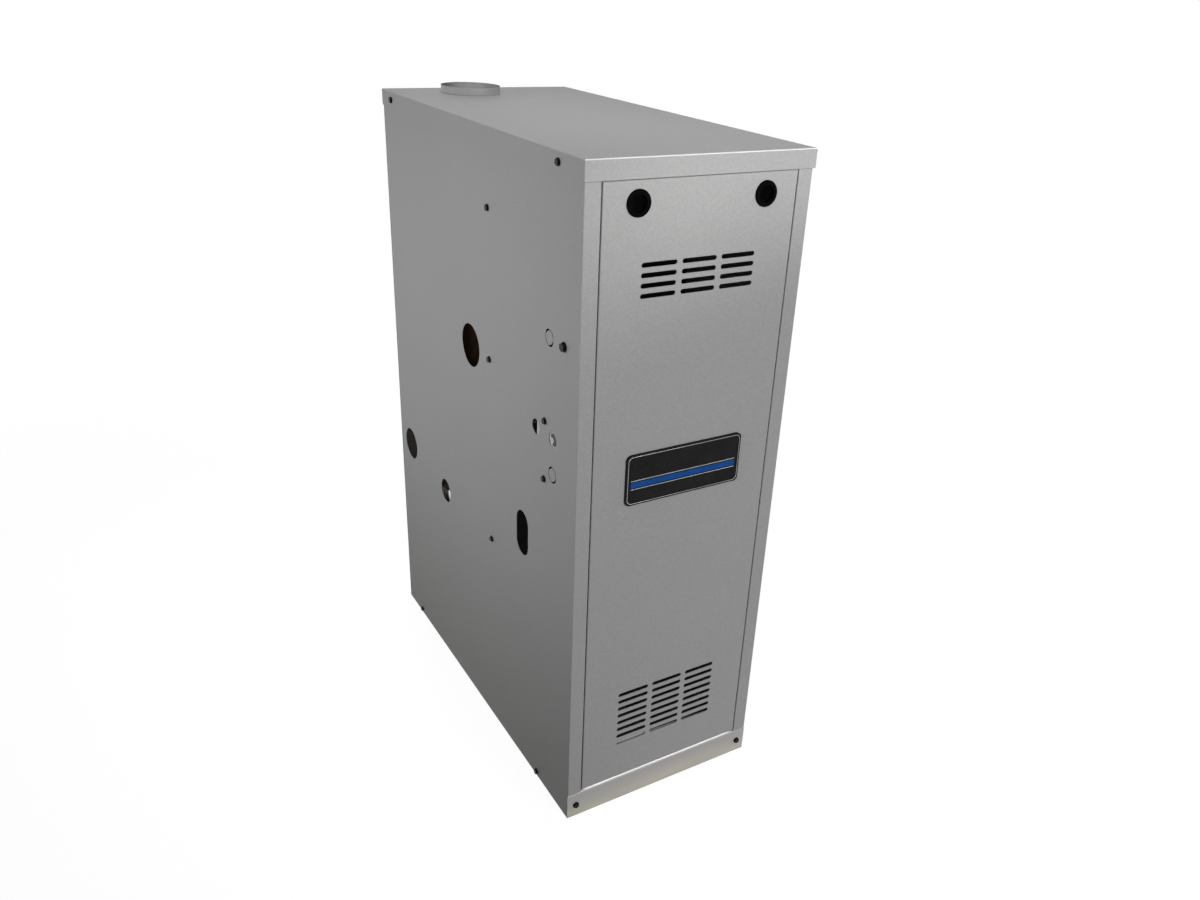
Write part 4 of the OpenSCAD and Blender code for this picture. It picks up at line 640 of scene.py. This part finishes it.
def radial_bar(bm, middle, angle, r0, r1, width, y0, y1):
    """A flat bar that points out from an (x, z) middle; the angle clockwise from straight up."""
    a, half = math.radians(angle), width / 2
    out, side = (math.sin(a), math.cos(a)), (math.cos(a), -math.sin(a))
    plate(bm, [(middle[0] + r * out[0] + w * side[0], middle[1] + r * out[1] + w * side[1])
               for r, w in ((r0, -half), (r1, -half), (r1, half), (r0, half))], y0, y1)


def scale_marks(bm, middle, r0, r1, face, minor):
    """A plain scale over 270 degrees on a face: 11 long marks with shorter ones between."""
    sweep, marks, thin, thick = 270, 10 * (minor + 1), 0.45 * MM, 0.9 * MM
    for i in range(marks + 1):
        start, width = ((r0 + r1) / 2, thin) if i % (minor + 1) else (r0, thick)
        angle = -sweep / 2 + sweep * i / marks
        radial_bar(bm, middle, angle, start, r1, width, face - PROUD, face + BITE)


def gauge_details():
    """The gauge's white face with its scale and red arc, and a bright bezel round it."""
    front, middle = front_of("gauge_body")[:2]
    face = front + 6.6 * MM
    hole_r, arc_r, scale_r, face_r = 1.9 * MM, 18 * MM, 21 * MM, 28.5 * MM
    bm = bmesh.new()
    ring_plate(bm, middle, hole_r, face_r, face, face + 0.6 * MM)
    piece("gauge_face", bm, EXTRA["dial_white"], "boiler")
    bm = bmesh.new()
    scale_marks(bm, middle, scale_r, face_r - 2 * MM, face, minor=4)
    piece("gauge_scale", bm, EXTRA["ink_black"], "boiler", smooth=False)
    bm = bmesh.new()
    ring_plate(bm, middle, arc_r, arc_r + 1.6 * MM, face - PROUD, face + BITE, 81, 135)
    piece("gauge_red_arc", bm, MATS["red_paint"], "boiler")
    bm = bmesh.new()
    ring_plate(bm, middle, 29.1 * MM, 31.8 * MM, front - 0.5 * MM, front + 0.3 * MM)
    piece("gauge_bezel", bm, MATS["bright_steel"], "boiler")


def limit_details():
    """The limit control's scale, and a pointer of two bars: one on its knob, one on the skirt."""
    front, middle = front_of("aquastat_body")[:2]
    bm = bmesh.new()
    scale_marks(bm, middle, 21.5 * MM, 26 * MM, front, minor=1)
    piece("limit_scale", bm, EXTRA["print_white"], "boiler", smooth=False)
    knob, skirt = front_of("aquastat_dial")[0], front - 3.3 * MM
    bm = bmesh.new()
    for r0, r1, near, far in ((3 * MM, 10 * MM, knob - PROUD, knob + 0.2 * MM),
                              (13.5 * MM, 19.4 * MM, skirt - 0.15 * MM, skirt + 0.2 * MM)):
        radial_bar(bm, middle, POINTER_AT, r0, r1, 1.4 * MM, near, far)
    piece("limit_pointer", bm, EXTRA["ink_black"], "limit_dial", smooth=False)


def control_details():
    """Spade terminals along the ignition control's foot and a signal lamp at its top."""
    lo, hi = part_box("ignition_control")
    # A spade's outline: millimetres out of the housing, millimetres up
    spade = ((-0.5, -3.1), (6.2, -3.1), (7.6, -1.9), (7.6, 1.9), (6.2, 3.1), (-0.5, 3.1))
    first, pitch, foot, half = 16 * MM, 12 * MM, 11 * MM, 0.4 * MM
    bm = bmesh.new()
    for i in range(6):
        x, z = lo.x + first + pitch * i, lo.z + foot
        sides = [[bm.verts.new((x + dx, lo.y - out * MM, z + up * MM)) for out, up in spade]
                 for dx in (-half, half)]
        bm.faces.new(sides[0])
        bm.faces.new(sides[1][::-1])
        for k in range(len(spade)):
            j = (k + 1) % len(spade)
            bm.faces.new((sides[0][k], sides[0][j], sides[1][j], sides[1][k]))
    piece("control_spades", bm, MATS["brass"], "boiler", smooth=False)
    lamp_r, inset = 2.4 * MM, 14 * MM
    bm = bmesh.new()
    bmesh.ops.create_uvsphere(bm, u_segments=20, v_segments=12, radius=lamp_r)
    bmesh.ops.scale(bm, vec=(1, 1.3, 1), verts=bm.verts)
    bmesh.ops.translate(bm, vec=(lo.x + inset, lo.y, hi.z - inset), verts=bm.verts)
    piece("control_lamp", bm, EXTRA["led_green"], "boiler")


def collar_seal():
    """A fillet of sealant where the vent collar comes through the cap."""
    lo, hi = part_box("vent_collar")
    mx, my, z = (lo.x + hi.x) / 2, (lo.y + hi.y) / 2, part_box("top_cap")[1].z
    r, leg, bite, steps = COLLAR_R, 1.3 * MM, 0.05 * MM, 96
    section = [(r - bite, z - bite), (r - bite, z + leg), (r + leg * 0.30, z + leg * 0.42),
               (r + leg * 0.60, z + leg * 0.16), (r + leg, z - bite)]
    turns = [math.tau * i / steps for i in range(steps)]
    bm = bmesh.new()
    swept_ring(bm, [[(mx + q * math.cos(a), my + q * math.sin(a), h) for a in turns]
                    for q, h in section])
    piece("collar_seal", bm, EXTRA["seal"], "boiler")


badge_details()
knockouts()
slot_card()
gauge_details()
limit_details()
control_details()
collar_seal()

# ---------------------------------------------------------------- stage

FLOOR_HALF = 2.4
FLOOR_FADE = (2.2, 1.0)      # the floor is gone beyond the first radius and full within the second
FLOOR_DROP = 0.5 * MM
bm = bmesh.new()
bmesh.ops.create_grid(bm, x_segments=1, y_segments=1, size=FLOOR_HALF)
floor_mesh = bpy.data.meshes.new("floor")
bm.to_mesh(floor_mesh)
bm.free()
floor = bpy.data.objects.new("floor", floor_mesh)
floor.location.z = -FLOOR_DROP
bpy.context.scene.collection.objects.link(floor)


def seen_ray(tree):
    """1 for rays that show the background: straight from the camera, mirrored or refracted."""
    path = tree.nodes.new("ShaderNodeLightPath")
    total = path.outputs["Is Camera Ray"]
    for name in ("Is Glossy Ray", "Is Transmission Ray"):
        either = tree.nodes.new("ShaderNodeMath")
        either.operation = "MAXIMUM"
        tree.links.new(total, either.inputs[0])
        tree.links.new(path.outputs[name], either.inputs[1])
        total = either.outputs[0]
    return total


def floor_material():
    """White to the eye with a soft shadow, and grey in the light that it gives back."""
    n = Nodes("floor")
    n.tree.nodes.remove(n.bsdf)

    def shader(kind, **inputs):
        return n.add(kind, inputs).outputs[0]

    def blend(fac, a, b):
        return n.add("ShaderNodeMixShader", {0: fac, 1: a, 2: b}).outputs[0]

    glow = shader("ShaderNodeEmission", Color=(*WHITE, 1), Strength=0.93)
    card = shader("ShaderNodeBsdfDiffuse", Color=(*grey(0.14), 1))
    # It gives back most right in front of the rail, as the floor in the photo does
    strip = n.calc(n.along("Y", (-0.33, -0.37), 0.09, 0.32), n.along("Y", (-0.9, -0.5), 0.25, 1.0))
    level = n.calc(strip, n.along("X", (-0.20, -0.10), 0.12, 1.0))
    dull = shader("ShaderNodeBsdfDiffuse", Color=level)
    seen = n.add("ShaderNodeAddShader", {0: glow, 1: card}).outputs[0]
    # Fades out with distance from the object
    away = n.add("ShaderNodeVectorMath", {0: n.where}, operation="LENGTH").outputs["Value"]
    fade = n.spread(away, 0, 1, *FLOOR_FADE)
    clear = shader("ShaderNodeBsdfTransparent")
    n.tree.links.new(blend(fade, clear, blend(seen_ray(n.tree), dull, seen)),
                     n.tree.nodes["Material Output"].inputs["Surface"])
    return n.mat


floor_mesh.materials.append(floor_material())

world = bpy.data.worlds.new("studio")
bpy.context.scene.world = world
world.use_nodes = True
sky = world.node_tree
AMBIENT = 0.08               # light from all round; what is seen of the world is plain white
ambient, white = sky.nodes.new("ShaderNodeBackground"), sky.nodes["Background"]
ambient.inputs["Color"].default_value = (0.98, 0.99, 1.0, 1)
ambient.inputs["Strength"].default_value = AMBIENT
white.inputs["Color"].default_value = (*WHITE, 1)
white.inputs["Strength"].default_value = 1.0
pick = sky.nodes.new("ShaderNodeMixShader")
sky.links.new(seen_ray(sky), pick.inputs[0])
sky.links.new(ambient.outputs[0], pick.inputs[1])
sky.links.new(white.outputs[0], pick.inputs[2])
sky.links.new(pick.outputs[0], sky.nodes["World Output"].inputs["Surface"])

# Name, place, what it points at, width, height, watts, colour, spread in degrees
LAMPS = [
    ("front_right", (0.52, -2.85, 1.0), (0.0, -0.35, 0.9), 1.2, 1.2, 39.0, (1.0, 0.99, 0.985), 180),
    ("front_top", (0.35, -1.15, 1.28), (0.06, -0.35, 1.005), 0.5, 0.08, 0.19,
     (1.0, 0.99, 0.98), 25),
    ("left_front", (-1.3, -0.5, 1.2), (-0.17, -0.2, 0.78), 0.8, 0.4, 1.15, (1.0, 0.99, 0.985), 70),
    ("left_rear", (-1.4, 1.1, 1.0), (-0.17, 0.35, 0.5), 0.9, 0.8, 2.6, (1.0, 0.99, 0.99), 80),
    ("overhead", (0.0, 0.2, 3.0), (0.0, 0.1, 0.0), 1.8, 1.8, 8.0, (1.0, 0.99, 0.98), 180),
    ("over_cap", (0.0, 0.0, 2.4), (0.0, 0.0, 0.0), 0.6, 1.0, 0.85, (1.0, 0.985, 0.99), 45),
    ("right_side", (2.6, -0.7, 0.6), (0.17, 0.0, 0.5), 1.0, 0.8, 17.0, (0.99, 0.99, 1.0), 180),
    ("rear", (0.6, 3.0, 0.55), (0.0, 0.35, 0.5), 1.2, 0.8, 44.0, (0.99, 0.99, 1.0), 180),
    # The last six stand in for light that comes in by louvres, the panel's gap, collar and holes
    ("inside", (0.06, -0.335, 0.45), (0.06, 0.0, 0.45), 0.14, 0.5, 0.055,
     (0.94, 0.97, 1.0), 180),
    ("ledge", (0.0, -0.346, 0.0474), (0.0, -0.352, 0.0445), 0.282, 0.002, 0.014,
     (1.0, 1.0, 1.0), 180),
    ("collar", (-0.045, 0.2805, 1.020), (-0.018, 0.323, 1.021), 0.02, 0.01, 0.02,
     (1.0, 1.0, 1.0), 180),
    ("supply_hole", (-0.145, 0.02, 0.690), (-0.108, 0.14, 0.620), 0.008, 0.008, 0.035,
     (0.92, 0.96, 1.0), 180),
    ("return_hole", (-0.150, 0.27, 0.35), (-0.13, 0.34, 0.35), 0.008, 0.008, 0.0016,
     (1.0, 0.93, 0.80), 180),
    ("drain_hole", (-0.156, 0.305, 0.258), (-0.129, 0.239, 0.295), 0.008, 0.008, 0.0007,
     (1.0, 0.98, 0.94), 180),
]
for name, at, to, w, h, watts, colour, spread in LAMPS:
    light = bpy.data.lights.new(name, "AREA")
    light.shape, light.size, light.size_y = "RECTANGLE", w, h
    light.energy, light.color, light.spread = watts, colour, math.radians(spread)
    lamp = bpy.data.objects.new(name, light)
    lamp.location = at
    lamp.rotation_euler = (Vector(to) - Vector(at)).to_track_quat("-Z", "Y").to_euler()
    lamp.visible_camera = False
    bpy.context.scene.collection.objects.link(lamp)

bpy.context.scene.view_settings.view_transform = "Standard"
